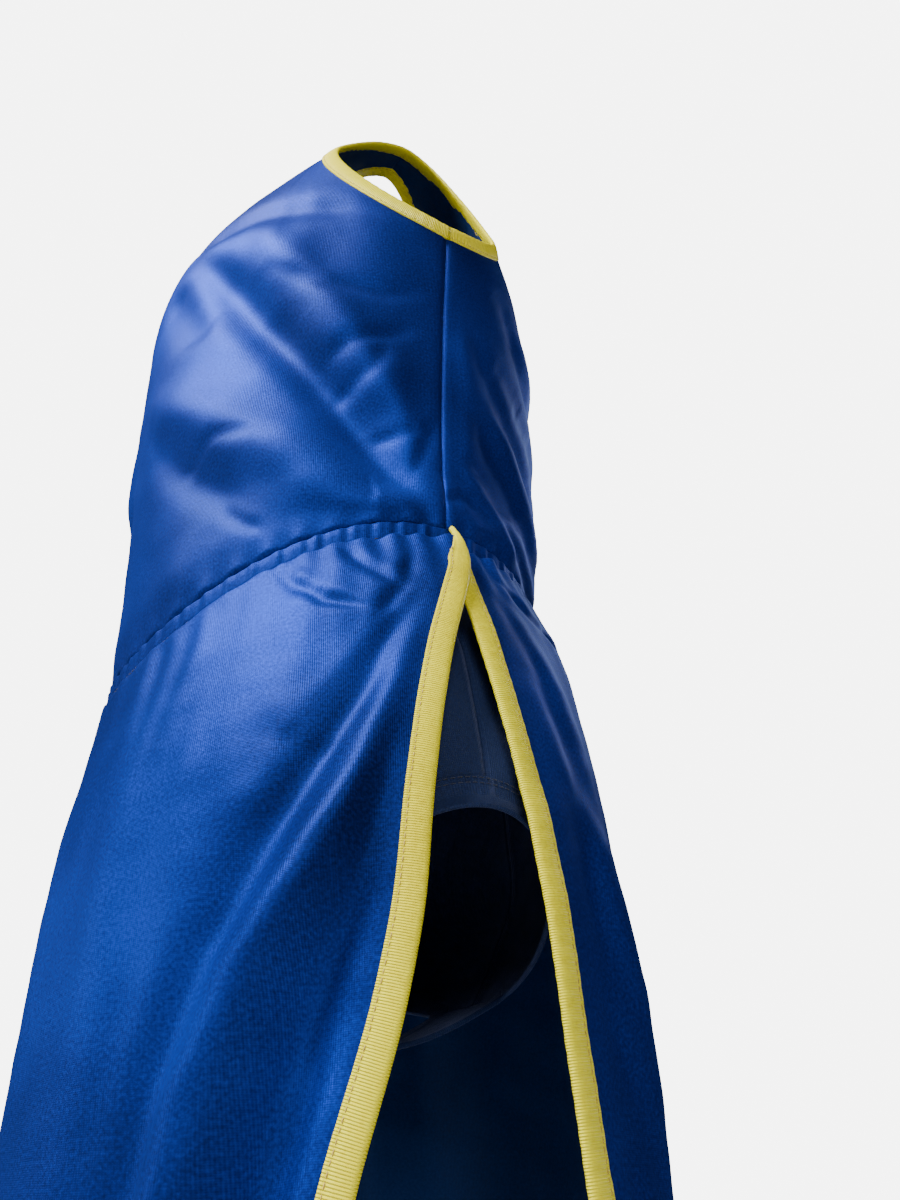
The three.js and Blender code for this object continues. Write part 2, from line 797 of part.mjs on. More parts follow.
// ---- centre back zip ----
const coilWidth = 2.2;
const coilHalfGap = 0.7;
const coilDepth = 2;
const tapeWidth = 13;
const tapeThick = 0.8;
const tapeInset = 5.2;
const sliderLength = 9;
const sliderWidth = 7.2;
const plateThick = 1;
const coilTop = 11;

const zip = new THREE.Group();
zip.position.copy(zipTopPoint);
zip.quaternion.copy(zipTurn());
dress.add(zip);

// In the zip's own frame +Y points away from the back and -Z runs down the zip.
function zipBar(width, thick, length, x, y, top) {
  const bar = new THREE.BoxGeometry(width, thick, length);
  bar.translate(x, y, top - length / 2);
  return bar;
}

for (const [name, side] of [['left', 1], ['right', -1]]) {
  const coilX = side * (coilHalfGap + coilWidth / 2);
  const coil = zipBar(coilWidth, coilDepth, zipLength - coilTop, coilX, 0, -coilTop);
  addNode(`zip_coil_${name}`, coil, zipNylon, zip);
  const tapeX = side * (coilHalfGap + tapeWidth / 2);
  const tape = zipBar(tapeWidth, tapeThick, zipLength - 3, tapeX, -tapeInset, -3);
  addNode(`zip_tape_${name}`, tape, zipTapeBlue, zip);
}

const stop = zipBar(6, 3, 3, 0, 0, -zipLength - 0.5);
addNode('zip_bottom_stop', stop, zipMetal, zip);

// The slider has a plate over the coils, a plate behind the tapes and a thin post between
// that runs in the gap between the two halves of the zip. Its bridge holds the pull.
const sliderTop = -coilTop - 1;
const plateOut = coilDepth / 2 + 0.4 + plateThick / 2;
const plateIn = -tapeInset - tapeThick / 2 - 0.4 - plateThick / 2;
const postWidth = 2 * coilHalfGap - 0.7;
const turnRoom = 1.85;       // from the pull's pin to what stands round it
const pinY = plateOut + plateThick / 2 + turnRoom;
const pinZ = sliderTop - 4.5;
const bridgeWide = 2;
const bridgeLegs = 1.4;
const legLength = pinY + turnRoom - plateOut;
const barThick = 1.2;

function bridgeLeg(top) {
  return zipBar(bridgeWide, legLength, bridgeLegs, 0, plateOut + legLength / 2, top);
}

const sliderPieces = [
  zipBar(sliderWidth, plateThick, sliderLength, 0, plateOut, sliderTop),
  zipBar(sliderWidth, plateThick, sliderLength, 0, plateIn, sliderTop),
  zipBar(postWidth, plateOut - plateIn, 4, 0, (plateOut + plateIn) / 2, sliderTop - 2),
  bridgeLeg(pinZ + turnRoom + bridgeLegs),
  bridgeLeg(pinZ - turnRoom),
  zipBar(bridgeWide, barThick, 2 * (turnRoom + bridgeLegs), 0,
    pinY + turnRoom + barThick / 2 - 0.05, pinZ + turnRoom + bridgeLegs),
];
const sliderSolid = sliderPieces.map(solidOf).reduce((sum, piece) => sum.add(piece));
addNode('zip_slider', geometryOf(sliderSolid), zipMetal, zip);

// The pull is a flat tab; a bar at its end passes under the slider's bridge.
const pullLength = 22;
const pullWidth = 6;
const pullThick = 1;
const pullBar = 1.4;
const pullPlate = zipBar(pullWidth, pullThick, pullLength, 0, pinY, pinZ + pullBar);
const pullHole = zipBar(bridgeWide + 1.2, 6, 6, 0, pinY, pinZ - 1);
const pullSolid = solidOf(pullPlate).subtract(solidOf(pullHole));
addNode('zip_pull', geometryOf(pullSolid), zipMetal, zip);

export default dress;
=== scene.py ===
import math
import bpy
import numpy as np
from mathutils import Matrix, Vector


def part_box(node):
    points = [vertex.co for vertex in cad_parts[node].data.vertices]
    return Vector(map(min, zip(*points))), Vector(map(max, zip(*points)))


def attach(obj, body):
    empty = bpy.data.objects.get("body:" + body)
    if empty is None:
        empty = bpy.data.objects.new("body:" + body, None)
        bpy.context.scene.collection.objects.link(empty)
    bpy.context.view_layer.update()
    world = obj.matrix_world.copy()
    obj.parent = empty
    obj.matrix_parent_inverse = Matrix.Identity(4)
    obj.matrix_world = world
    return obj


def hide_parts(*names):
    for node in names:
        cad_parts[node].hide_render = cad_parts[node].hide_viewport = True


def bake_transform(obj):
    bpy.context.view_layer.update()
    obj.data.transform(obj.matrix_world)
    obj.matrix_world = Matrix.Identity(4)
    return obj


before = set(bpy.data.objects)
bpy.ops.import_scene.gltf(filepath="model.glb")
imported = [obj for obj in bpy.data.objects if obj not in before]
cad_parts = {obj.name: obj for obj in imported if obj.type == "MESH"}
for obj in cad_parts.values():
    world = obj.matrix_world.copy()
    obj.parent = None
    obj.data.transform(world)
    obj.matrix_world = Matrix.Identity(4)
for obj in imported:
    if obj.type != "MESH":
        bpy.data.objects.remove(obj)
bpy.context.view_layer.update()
print("frame loaded")

# ---------- shape of the dress ----------
# metres; angle 0 is the wearer's left side, +90 degrees the middle of the front, -90 the back
cut = {
    "waistDipFront": 0.058,
    "waistDipBack": 0.012,
    "underarmDrop": 0.188,
    "swingDrop": 0.160,      # waist seam to where the skirt panels hang free
    "neckHalfWidth": 0.054,
    "strapWidth": 0.036,
    "neckFront": 5.16,       # levels up from the waist, at the middle of the neckline
    "neckBack": 5.3,
    "shoulderRound": 0.034,  # half the width of the curve over the shoulder
    "shoulderSlope": 0.8,
    "clothThick": 0.0007,
}
waistDrop = -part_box("bodice_front")[0][2] - cut["waistDipFront"]
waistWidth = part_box("waist_casing")[1][0] - 0.0012
hemDrop = -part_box("skirt_front_panel")[0][2]
hipDrop = waistDrop + cut["swingDrop"]

# each level: drop at the side, in front and behind, then half width, depth in front, behind
waistLevel = (waistDrop, waistDrop + cut["waistDipFront"], waistDrop + cut["waistDipBack"],
              waistWidth, 0.126, 0.108)
bodiceLevels = np.array([
    waistLevel,
    (0.82 * waistDrop, 0.87 * waistDrop, 0.82 * waistDrop, waistWidth + 0.001, 0.133, 0.121),
    (0.63 * waistDrop, 0.64 * waistDrop, 0.62 * waistDrop, waistWidth + 0.007, 0.140, 0.124),
    (0.46 * waistDrop, 0.44 * waistDrop, 0.45 * waistDrop, waistWidth + 0.015, 0.139, 0.112),
    (0.30 * waistDrop, 0.265 * waistDrop, 0.28 * waistDrop, waistWidth + 0.017, 0.106, 0.088),
    (0.18 * waistDrop, 0.115 * waistDrop, 0.13 * waistDrop, waistWidth + 0.017, 0.060, 0.063),
    (0.12 * waistDrop, -0.012, -0.012, waistWidth + 0.023, 0.0, 0.0),
])
thighDrop = hipDrop + 0.35 * (hemDrop - hipDrop)
skirtLevels = np.array([
    waistLevel,
    (waistDrop + 0.062, waistDrop + 0.104, waistDrop + 0.066, waistWidth + 0.023, 0.132, 0.128),
    (hipDrop, hipDrop, hipDrop, waistWidth + 0.036, 0.137, 0.137),
    (thighDrop, thighDrop, thighDrop, waistWidth + 0.040, 0.133, 0.140),
    (hemDrop, hemDrop, hemDrop, waistWidth + 0.046, 0.146, 0.148),
])
ridge = len(bodiceLevels) - 1
reach = 0.135                # metres of cloth to a radian round the body


def smoothStep(x):
    x = np.clip(x, 0, 1)
    return x * x * (3 - 2 * x)


def mix(a, b, f):
    return a + (b - a) * f


def unit(v):
    return v / np.maximum(np.linalg.norm(v, axis=-1, keepdims=True), 1e-9)


def levelAt(levels, t):
    t = np.asarray(t, float)
    last = len(levels) - 1
    i = np.clip(np.floor(t).astype(int), 0, last - 1)
    f = (t - i)[..., None]
    a = levels[np.clip(i - 1, 0, last)]
    b = levels[i]
    c = levels[i + 1]
    d = levels[np.clip(i + 2, 0, last)]
    cubic = (3 * b - a - 3 * c + d) * f ** 3
    return 0.5 * (2 * b + (c - a) * f + (2 * a - 5 * b + 4 * c - d) * f * f + cubic)


def surface(levels, t, angle):
    at = levelAt(levels, t)
    across = np.cos(angle)
    deep = np.sin(angle)
    centre = np.where(deep >= 0, at[..., 1], at[..., 2])
    depth = np.where(deep >= 0, at[..., 4], at[..., 5])
    drop = at[..., 0] + (centre - at[..., 0]) * deep * deep
    y = -depth * deep
    if levels is bodiceLevels:
        near = np.clip(1 - np.abs(y) / cut["shoulderRound"], 0, 1)
        lower = cut["shoulderSlope"] * cut["shoulderRound"] / 2 * near ** 2
        drop = drop + lower * smoothStep((np.asarray(t) - 4.6) / 0.8)
    return np.stack([at[..., 3] * across, y, -drop], -1)


def surfaceNormal(levels, t, angle):
    step = 0.01
    here = np.clip(t, step, len(levels) - 1 - step)
    alongAngle = surface(levels, here, angle + step) - surface(levels, here, angle - step)
    alongLevel = surface(levels, here + step, angle) - surface(levels, here - step, angle)
    normal = unit(np.cross(alongAngle, alongLevel))
    outward = np.stack([np.cos(angle), -np.sin(angle), 0 * angle], -1)
    flip = np.sign(np.sum(normal * outward, -1, keepdims=True))
    return normal * np.where(flip == 0, 1, flip)


def levelOfDrop(levels, angle, drop):
    low, high = 0.0, len(levels) - 1.0
    rising = surface(levels, high, angle)[2] > surface(levels, low, angle)[2]
    for _ in range(40):
        middle = (low + high) / 2
        above = surface(levels, middle, angle)[2] > -drop
        if above == rising:
            high = middle
        else:
            low = middle
    return (low + high) / 2


# ---------- folds ----------
# A fold is a line on the cloth, as (degrees, millimetres below the straps), a half width
# and a height in millimetres; a height below zero is a hollow.
def foldRelief(folds, angle, drop):
    x = angle * reach
    y = drop
    total = np.zeros_like(x)
    for line, width, height in folds:
        pts = np.array([(math.radians(a) * reach, d / 1000) for a, d in line])
        lengths = np.linalg.norm(np.diff(pts, axis=0), axis=1)
        starts = np.concatenate([[0], np.cumsum(lengths)])
        best = np.full(x.shape, 1e9)
        along = np.zeros_like(x)
        for k in range(len(lengths)):
            p, q = pts[k], pts[k + 1]
            step = (q - p) / lengths[k]
            s = np.clip((x - p[0]) * step[0] + (y - p[1]) * step[1], 0, lengths[k])
            far = np.hypot(x - p[0] - s * step[0], y - p[1] - s * step[1])
            closer = far < best
            best = np.where(closer, far, best)
            along = np.where(closer, starts[k] + s, along)
        f = along / starts[-1]
        taper = smoothStep(f / 0.25) * smoothStep((1 - f) / 0.25)
        w = width / 1000 * (0.55 + 0.45 * taper)
        total += height / 1000 * np.exp(-(best / w) ** 2) * (0.15 + 0.85 * taper)
    return total


def otherSide(folds, turn=0.0, lower=0.0, strength=1.0):
    moved = []
    for line, width, height in folds:
        moved.append(([(180 - a + turn, d + lower) for a, d in line], width, height * strength))
    return moved


def ripple(seed, angle, drop, scale, count=7):
    # smooth unevenness with no repeat; scale is the size of its humps in metres
    rng = np.random.RandomState(seed)
    total = np.zeros_like(angle)
    for _ in range(count):
        turn = rng.uniform(0, math.pi)
        size = scale * rng.uniform(0.7, 1.6)
        phase = rng.uniform(0, 2 * math.pi)
        wave = (angle * reach * math.cos(turn) + drop * math.sin(turn)) / size
        total += np.sin(2 * math.pi * wave + phase)
    return total / count


bodiceMainFolds = [
    ([(74, 186), (62, 224), (48, 276), (35, 317), (23, 357), (13, 392), (3, 416)], 15, -10.0),
    ([(86, 296), (66, 334), (48, 366), (32, 396), (14, 418)], 22, 7.0),
    ([(84, 204), (74, 238), (62, 282)], 16, -5.0),
    ([(52, 190), (39, 240), (26, 288), (15, 330), (6, 368)], 16, 5.0),
    ([(82, 330), (62, 386), (46, 416)], 13, -3.5),
    ([(80, 166), (56, 180), (37, 190), (20, 196)], 11, -4.0),
]
bodiceFolds = [
    ([(44, 244), (30, 262), (16, 262), (4, 250)], 7, -2.0),
    ([(30, 320), (24, 305), (16, 296), (7, 283)], 5, -1.8),
    ([(28, 345), (18, 322), (14, 300)], 5, -1.8),
    ([(19, 368), (13, 366), (5, 356)], 4.5, -1.6),
    ([(8, 392), (5, 370), (1, 345)], 5, -2.0),
    ([(0, 404), (-6, 396), (-12, 399)], 4.5, -1.6),
    ([(68, 379), (56, 364), (42, 368)], 4.5, -1.4),
    ([(54, 412), (47, 426), (42, 432)], 4, -1.6),
    ([(-6, 262), (-10, 330), (-8, 380)], 9, 2.0),
]
backFolds = [
    ([(-22, 215), (-40, 260), (-62, 300)], 13, -4.5),
    ([(-14, 290), (-34, 340), (-58, 372), (-82, 384)], 14, -5.0),
    ([(-16, 320), (-36, 368), (-60, 398)], 12, 4.5),
    ([(-20, 396), (-44, 418), (-70, 424)], 8, -4.0),
    ([(-6, 372), (-18, 398), (-30, 424)], 8, 3.0),
    ([(-70, 250), (-50, 240), (-30, 236)], 12, 2.5),
]
skirtMainFolds = [
    ([(6, 458), (13, 487), (19, 512), (29, 561), (39, 599), (47, 634), (54, 667), (60, 742),
      (64, 868), (66, 1040)], 10, -7.0),
    ([(9, 480), (21, 559), (32, 611), (41, 644), (47, 690), (52, 783), (54, 1060)], 15, 11.0),
    ([(18, 560), (27, 626), (33, 662), (38, 709), (42, 802), (43, 1060)], 16, -14.0),
    ([(34, 680), (36, 802), (34, 1060)], 12, 6.0),
    ([(18, 545), (20, 600), (23, 645), (29, 700)], 8, -4.0),
]
skirtFolds = [
    ([(68, 508), (68, 596), (74, 722), (77, 915), (77, 1015)], 16, 3.5),
    ([(56, 535), (60, 638), (67, 763), (70, 1015)], 11, -3.0),
    ([(86, 540), (84, 640), (87, 800), (86, 1010)], 18, -3.0),
    ([(95, 500), (97, 620), (96, 820), (97, 1010)], 20, 4.0),
    ([(38, 552), (33, 559), (26, 561)], 7, -1.2),
    ([(42, 452), (36, 470), (30, 484), (21, 491)], 4, -3.0),
    ([(47, 454), (39, 461), (32, 476)], 5, 2.2),
    ([(26, 447), (21, 463), (14, 477)], 4, -2.5),
    ([(11, 451), (14, 473), (21, 498)], 4, -2.2),
    ([(65, 478), (67, 505), (68, 540)], 7, -2.0),
    ([(54, 468), (55, 500), (61, 545)], 7, 2.0),
]
skirtBackFolds = [
    ([(-8, 470), (-16, 505), (-20, 560), (-22, 640), (-24, 800), (-27, 1010)], 9, -4.0),
    ([(-16, 480), (-27, 540), (-31, 640), (-33, 800), (-36, 1010)], 15, 6.0),
    ([(-40, 520), (-42, 640), (-45, 800), (-48, 1010)], 16, -6.0),
    ([(-56, 500), (-58, 660), (-60, 820), (-60, 1010)], 17, 4.5),
    ([(-74, 520), (-73, 700), (-76, 1010)], 16, -5.0),
    ([(-90, 480), (-90, 700), (-91, 1010)], 18, 4.5),
    ([(-26, 462), (-32, 480), (-36, 500)], 5, -3.0),
    ([(-12, 452), (-20, 468), (-34, 474)], 4, -2.5),
]


# ---------- cloth sheets ----------
def makeMesh(name, verts, faces, uvs=None):
    mesh = bpy.data.meshes.new(name)
    mesh.from_pydata([tuple(v) for v in verts], [], faces)
    if uvs is not None:
        layer = mesh.uv_layers.new(name="cloth")
        loops = np.zeros(len(mesh.loops), dtype=np.int32)
        mesh.loops.foreach_get("vertex_index", loops)
        layer.data.foreach_set("uv", np.asarray(uvs, np.float32)[loops].ravel())
    mesh.validate()
    mesh.update()
    obj = bpy.data.objects.new(name, mesh)
    bpy.context.collection.objects.link(obj)
    return obj


def selectOnly(obj):
    bpy.ops.object.select_all(action="DESELECT")
    obj.select_set(True)
    bpy.context.view_layer.objects.active = obj


def smoothShade(obj):
    for polygon in obj.data.polygons:
        polygon.use_smooth = True


def gridNormals(points):
    down = np.gradient(points, axis=0)
    across = np.gradient(points, axis=1)
    return unit(np.cross(across, down))


def gridPiece(name, points, angle, drop, materials, body=None):
    # points is rows by columns; the outer face gets the first material, the reverse the second
    rows, columns = points.shape[:2]
    index = np.arange(rows * columns).reshape(rows, columns)
    a, b = index[:-1, :-1].ravel(), index[:-1, 1:].ravel()
    c, d = index[1:, 1:].ravel(), index[1:, :-1].ravel()
    normal = gridNormals(points)
    outward = np.stack([np.cos(angle), -np.sin(angle), 0 * angle], -1)
    facesOut = np.sum(normal * outward) > 0
    order = (a, b, c, d) if facesOut else (a, d, c, b)
    uvs = np.stack([angle * reach, -drop], -1).reshape(-1, 2)
    obj = makeMesh(name, points.reshape(-1, 3), np.stack(order, 1).tolist(), uvs)
    for material in materials:
        obj.data.materials.append(material)
    selectOnly(obj)
    bpy.ops.object.mode_set(mode="EDIT")
    bpy.ops.mesh.select_all(action="SELECT")
    bpy.ops.mesh.remove_doubles(threshold=0.00002)
    bpy.ops.object.mode_set(mode="OBJECT")
    thick = obj.modifiers.new("thickness", "SOLIDIFY")
    thick.thickness = cut["clothThick"]
    thick.offset = -1
    thick.material_offset = 1
    thick.material_offset_rim = 0
    bpy.ops.object.modifier_apply(modifier=thick.name)
    smoothShade(obj)
    return obj


drape = {
    "gap": 0.0042,        # from the cloth down to the body that it lies on
    "steps": 26,          # frames of cloth simulation
    "quality": 7,
    "stiff": 18.0,
}


def bodyUnder(levels, low, high):
    # a closed-in body a little inside the cloth, for it to lie on
    t, a = np.meshgrid(np.linspace(low, high, 50), np.linspace(0, 2 * math.pi, 73)[:-1],
                       indexing="ij")
    signed = ((a + math.pi) % (2 * math.pi)) - math.pi
    points = surface(levels, t, signed) - surfaceNormal(levels, t, signed) * drape["gap"]
    index = np.arange(t.size).reshape(t.shape)
    after = np.roll(index, -1, axis=1)
    faces = np.stack([index[:-1].ravel(), after[:-1].ravel(), after[1:].ravel(),
                      index[1:].ravel()], 1).tolist()
    body = makeMesh("bodyUnder", points.reshape(-1, 3), faces)
    fixNormals(body)
    body.modifiers.new("body", "COLLISION")
    body.collision.thickness_outer = 0.0015
    body.collision.cloth_friction = 12
    return body


def settleCloth(points, hold, rows, columns, grow, levels, span, bending=0.25, limit=0.0050,
                smoothing=3):
    # the sheet is cut a little larger than the space it is sewn into, then left to hang
    r = np.unique(np.round(np.linspace(0, points.shape[0] - 1, rows)).astype(int))
    c = np.unique(np.round(np.linspace(0, points.shape[1] - 1, columns)).astype(int))
    coarse = points[np.ix_(r, c)]
    weight = hold[np.ix_(r, c)].ravel()
    index = np.arange(coarse.shape[0] * coarse.shape[1]).reshape(coarse.shape[:2])
    faces = np.stack([index[:-1, :-1].ravel(), index[:-1, 1:].ravel(), index[1:, 1:].ravel(),
                      index[1:, :-1].ravel()], 1).tolist()
    sheet = makeMesh("hangingSheet", coarse.reshape(-1, 3), faces)
    group = sheet.vertex_groups.new(name="sewn")
    for k, w in enumerate(weight):
        if w > 0.001:
            group.add([k], float(w), "REPLACE")
    body = bodyUnder(levels, *span)
    selectOnly(sheet)
    cloth = sheet.modifiers.new("cloth", "CLOTH")
    values = cloth.settings
    values.quality = drape["quality"]
    values.mass = 0.18
    values.air_damping = 2.0
    values.tension_stiffness = drape["stiff"]
    values.compression_stiffness = drape["stiff"]
    values.shear_stiffness = drape["stiff"] * 0.4
    values.bending_stiffness = bending
    values.vertex_group_mass = "sewn"
    values.pin_stiffness = 1.0
    values.shrink_min = -grow
    cloth.collision_settings.collision_quality = 3
    cloth.collision_settings.distance_min = 0.0015
    cloth.point_cache.frame_start = 1
    cloth.point_cache.frame_end = drape["steps"]
    scene = bpy.context.scene
    for frameNumber in range(1, drape["steps"] + 1):
        scene.frame_set(frameNumber)
    settled = sheet.evaluated_get(bpy.context.evaluated_depsgraph_get()).to_mesh()
    moved = np.zeros(len(settled.vertices) * 3, np.float32)
    settled.vertices.foreach_get("co", moved)
    shift = moved.reshape(coarse.shape) - coarse
    scene.frame_set(1)
    for obj in (sheet, body):
        mesh = obj.data
        bpy.data.objects.remove(obj, do_unlink=True)
        bpy.data.meshes.remove(mesh)
    size = np.linalg.norm(shift, axis=-1, keepdims=True)
    print("cloth moved up to", round(float(size.max()), 4), "mean", round(float(size.mean()), 4))
    shift *= limit * np.tanh(size / limit) / np.maximum(size, 1e-9)
    allRows = np.arange(points.shape[0])
    allColumns = np.arange(points.shape[1])
    half = np.stack([[np.interp(allColumns, c, row[:, k]) for row in shift]
                     for k in range(3)], -1)
    full = np.stack([[np.interp(allRows, r, half[:, j, k]) for j in allColumns]
                     for k in range(3)], -1)
    full = np.swapaxes(full, 0, 1)
    for _ in range(smoothing):
        full[1:-1] = (full[:-2] + 2 * full[1:-1] + full[2:]) / 4
        full[:, 1:-1] = (full[:, :-2] + 2 * full[:, 1:-1] + full[:, 2:]) / 4
    free = 1 - hold
    return points + full * free[..., None]


def sewnEdges(shape, top, bottom, sides, fade):
    # 1 along the edges that are sewn down, falling to 0 a few rows into the sheet
    rows, columns = shape[:2]
    r, c = np.meshgrid(np.arange(rows), np.arange(columns), indexing="ij")
    hold = np.zeros((rows, columns))
    if top is not None:
        hold = np.maximum(hold, 1 - smoothStep((rows - 1 - r - top) / fade))
    if bottom is not None:
        hold = np.maximum(hold, 1 - smoothStep((r - bottom) / fade))
    if sides is not None:
        hold = np.maximum(hold, 1 - smoothStep((np.minimum(c, columns - 1 - c) - sides) / fade))
    return hold


def arcLength(path):
    steps = np.linalg.norm(np.diff(path, axis=0), axis=1)
    return np.concatenate([[0], np.cumsum(steps)])


def resample(path, fields, spacing, closed):
    pts = np.vstack([path, path[:1]]) if closed else path
    along = arcLength(pts)
    count = max(int(round(along[-1] / spacing)), 4)
    want = np.linspace(0, along[-1], count + 1)
    if closed:
        want = want[:-1]
    out = []
    for field in [path] + list(fields):
        full = np.vstack([field, field[:1]]) if closed else field
        out.append(np.stack([np.interp(want, along, full[:, k]) for k in range(3)], 1))
    return out


def smoothPath(values, times, closed):
    for _ in range(times):
        before = np.roll(values, 1, axis=0)
        after = np.roll(values, -1, axis=0)
        if not closed:
            before[0] = values[0]
            after[-1] = values[-1]
        values = (before + 2 * values + after) / 4
    return values


def edgeFrames(edge, inner, normal, spacing, closed, smoothing=6):
    # even stations along a cloth edge: points, the way into the cloth, the way outward
    path, inside, outward = resample(edge, [inner - edge, normal], spacing, closed)
    ends = path[[0, -1]].copy()
    path = smoothPath(path, 8 if closed else 10, closed)
    if not closed:
        path[[0, -1]] = ends
    if closed:
        tangent = unit(np.roll(path, -1, axis=0) - np.roll(path, 1, axis=0))
    else:
        tangent = unit(np.gradient(path, axis=0))
    outward = smoothPath(unit(outward), smoothing, closed)
    outward = unit(outward - tangent * np.sum(outward * tangent, 1, keepdims=True))
    across = unit(np.cross(outward, tangent))
    if np.sum(across * inside) < 0:
        across = -across
    return path, across, outward


def sweepBand(name, frames, section, closed, material, bump=None, taper=None):
    path, inside, outward = frames
    count = len(path)
    size = len(section)
    shape = np.array(section)
    if bump is None:
        bump = np.zeros(count)
    if taper is None:
        taper = np.ones(count)
    verts = (path[:, None] + inside[:, None] * shape[None, :, :1] * taper[:, None, None]
             + outward[:, None] * (shape[None, :, 1:] + np.sign(shape[None, :, 1:])
                                   * bump[:, None, None]))
    faces = []
    last = count if closed else count - 1
    for k in range(last):
        n = (k + 1) % count
        for i in range(size):
            j = (i + 1) % size
            faces.append((k * size + i, k * size + j, n * size + j, n * size + i))
    if not closed:
        faces.append(tuple(reversed(range(size))))
        faces.append(tuple(range((count - 1) * size, count * size)))
    along = arcLength(path)
    around = arcLength(np.vstack([shape, shape[:1]]))[:size]
    uvs = np.stack([np.repeat(along, size), np.tile(around, count)], 1)
    obj = makeMesh(name, verts.reshape(-1, 3), faces, uvs)
    obj.data.materials.append(material)
    fixNormals(obj)
    smoothShade(obj)
    return obj


def fixNormals(obj):
    selectOnly(obj)
    bpy.ops.object.mode_set(mode="EDIT")
    bpy.ops.mesh.select_all(action="SELECT")
    bpy.ops.mesh.normals_make_consistent(inside=False)
    bpy.ops.object.mode_set(mode="OBJECT")


def roundedSection(width, thick, start=0.0, steps=5):
    # a soft flat band from start to start + width, folded round at the outer edge
    half = thick / 2
    points = []
    for k in range(steps + 1):
        turn = math.pi / 2 + math.pi * k / steps
        points.append((start + half + half * math.cos(turn), half * math.sin(turn)))
    for f in (0.35, 0.7):
        points.append((start + width * f, -half * 0.86))
    for k in range(4):
        turn = -math.pi / 2 + math.pi * k / 3
        edge = half * 0.55
        points.append((start + width - edge + edge * math.cos(turn), edge * math.sin(turn)))
    for f in (0.7, 0.35):
        points.append((start + width * f, half * 0.86))
    return points


def boundEdge(width, thick):
    # a strip folded round a raw edge: full at the fold, pressed flat where it is sewn down
    shape = [(-0.07, 0.0), (-0.05, 0.45), (0.02, 0.78), (0.14, 0.96), (0.34, 1.0), (0.56, 0.92),
             (0.74, 0.72), (0.84, 0.46), (0.90, 0.52), (0.97, 0.42), (1.0, 0.18)]
    top = [(x * width, h * thick / 2) for x, h in shape]
    return top + [(x, -h) for x, h in reversed(top[1:])]


def stitchRow(name, frames, inside, lift, values, material, closed=False):
    # one thread stitch after another, each a short capsule pressed into the cloth
    path, inward, outward = frames
    line = path + inward * inside + outward * lift
    pitch = values["pitch"]
    line, outward = resample(line, [outward], pitch, closed)
    if closed:
        tangent = unit(np.roll(line, -1, axis=0) - np.roll(line, 1, axis=0))
    else:
        tangent = unit(np.gradient(line, axis=0))
    side = unit(np.cross(tangent, outward))
    half = values["length"] / 2
    thread = values["thread"] / 2
    rings = [(-1.0, 0.25, -0.9), (-0.7, 0.9, -0.15), (0.0, 1.0, 0.15), (0.7, 0.9, -0.15),
             (1.0, 0.25, -0.9)]
    sides = 6
    template = []
    for s, r, h in rings:
        for k in range(sides):
            turn = 2 * math.pi * k / sides
            template.append((s * half, math.cos(turn) * r * thread,
                             math.sin(turn) * r * thread + h * thread))
    template = np.array(template)
    verts = (line[:, None] + tangent[:, None] * template[None, :, :1]
             + side[:, None] * template[None, :, 1:2] + outward[:, None] * template[None, :, 2:])
    faces = []
    for m in range(len(line)):
        base = m * len(template)
        for k in range(len(rings) - 1):
            for i in range(sides):
                j = (i + 1) % sides
                p = base + k * sides
                faces.append((p + i, p + j, p + sides + j, p + sides + i))
        faces.append(tuple(base + i for i in reversed(range(sides))))
        top = base + (len(rings) - 1) * sides
        faces.append(tuple(top + i for i in range(sides)))
    obj = makeMesh(name, verts.reshape(-1, 3), faces)
    obj.data.materials.append(material)
    fixNormals(obj)
    smoothShade(obj)
    return obj


# ---------- materials ----------
def newMaterial(name):
    material = bpy.data.materials.new(name)
    material.use_nodes = True
    nodes = material.node_tree.nodes
    links = material.node_tree.links
    return material, nodes, links, nodes["Principled BSDF"]


def addNode(nodes, kind, **settings):
    node = nodes.new(kind)
    for key, value in settings.items():
        if hasattr(node, key):
            setattr(node, key, value)
        else:
            node.inputs[key].default_value = value
    return node


def noiseNode(nodes, links, vector, scale, detail=3.0, stretch=None):
    if stretch:
        mapping = addNode(nodes, "ShaderNodeMapping")
        mapping.inputs["Scale"].default_value = stretch
        links.new(vector, mapping.inputs["Vector"])
        vector = mapping.outputs["Vector"]
    node = addNode(nodes, "ShaderNodeTexNoise")
    node.inputs["Scale"].default_value = scale
    node.inputs["Detail"].default_value = detail
    links.new(vector, node.inputs["Vector"])
    return node.outputs["Fac"]


def rampNode(nodes, links, factor, stops):
    ramp = addNode(nodes, "ShaderNodeValToRGB")
    elements = ramp.color_ramp.elements
    while len(elements) < len(stops):
        elements.new(0.5)
    for element, (place, color) in zip(elements, stops):
        element.position = place
        element.color = (*color, 1)
    links.new(factor, ramp.inputs["Fac"])
    return ramp.outputs["Color"]


def mathNode(nodes, links, operation, a, b=None):
    node = addNode(nodes, "ShaderNodeMath", operation=operation)
    for socket, value in zip(node.inputs, (a, b)):
        if value is None:
            continue
        if isinstance(value, (int, float)):
            socket.default_value = value
        else:
            links.new(value, socket)
    return node.outputs[0]


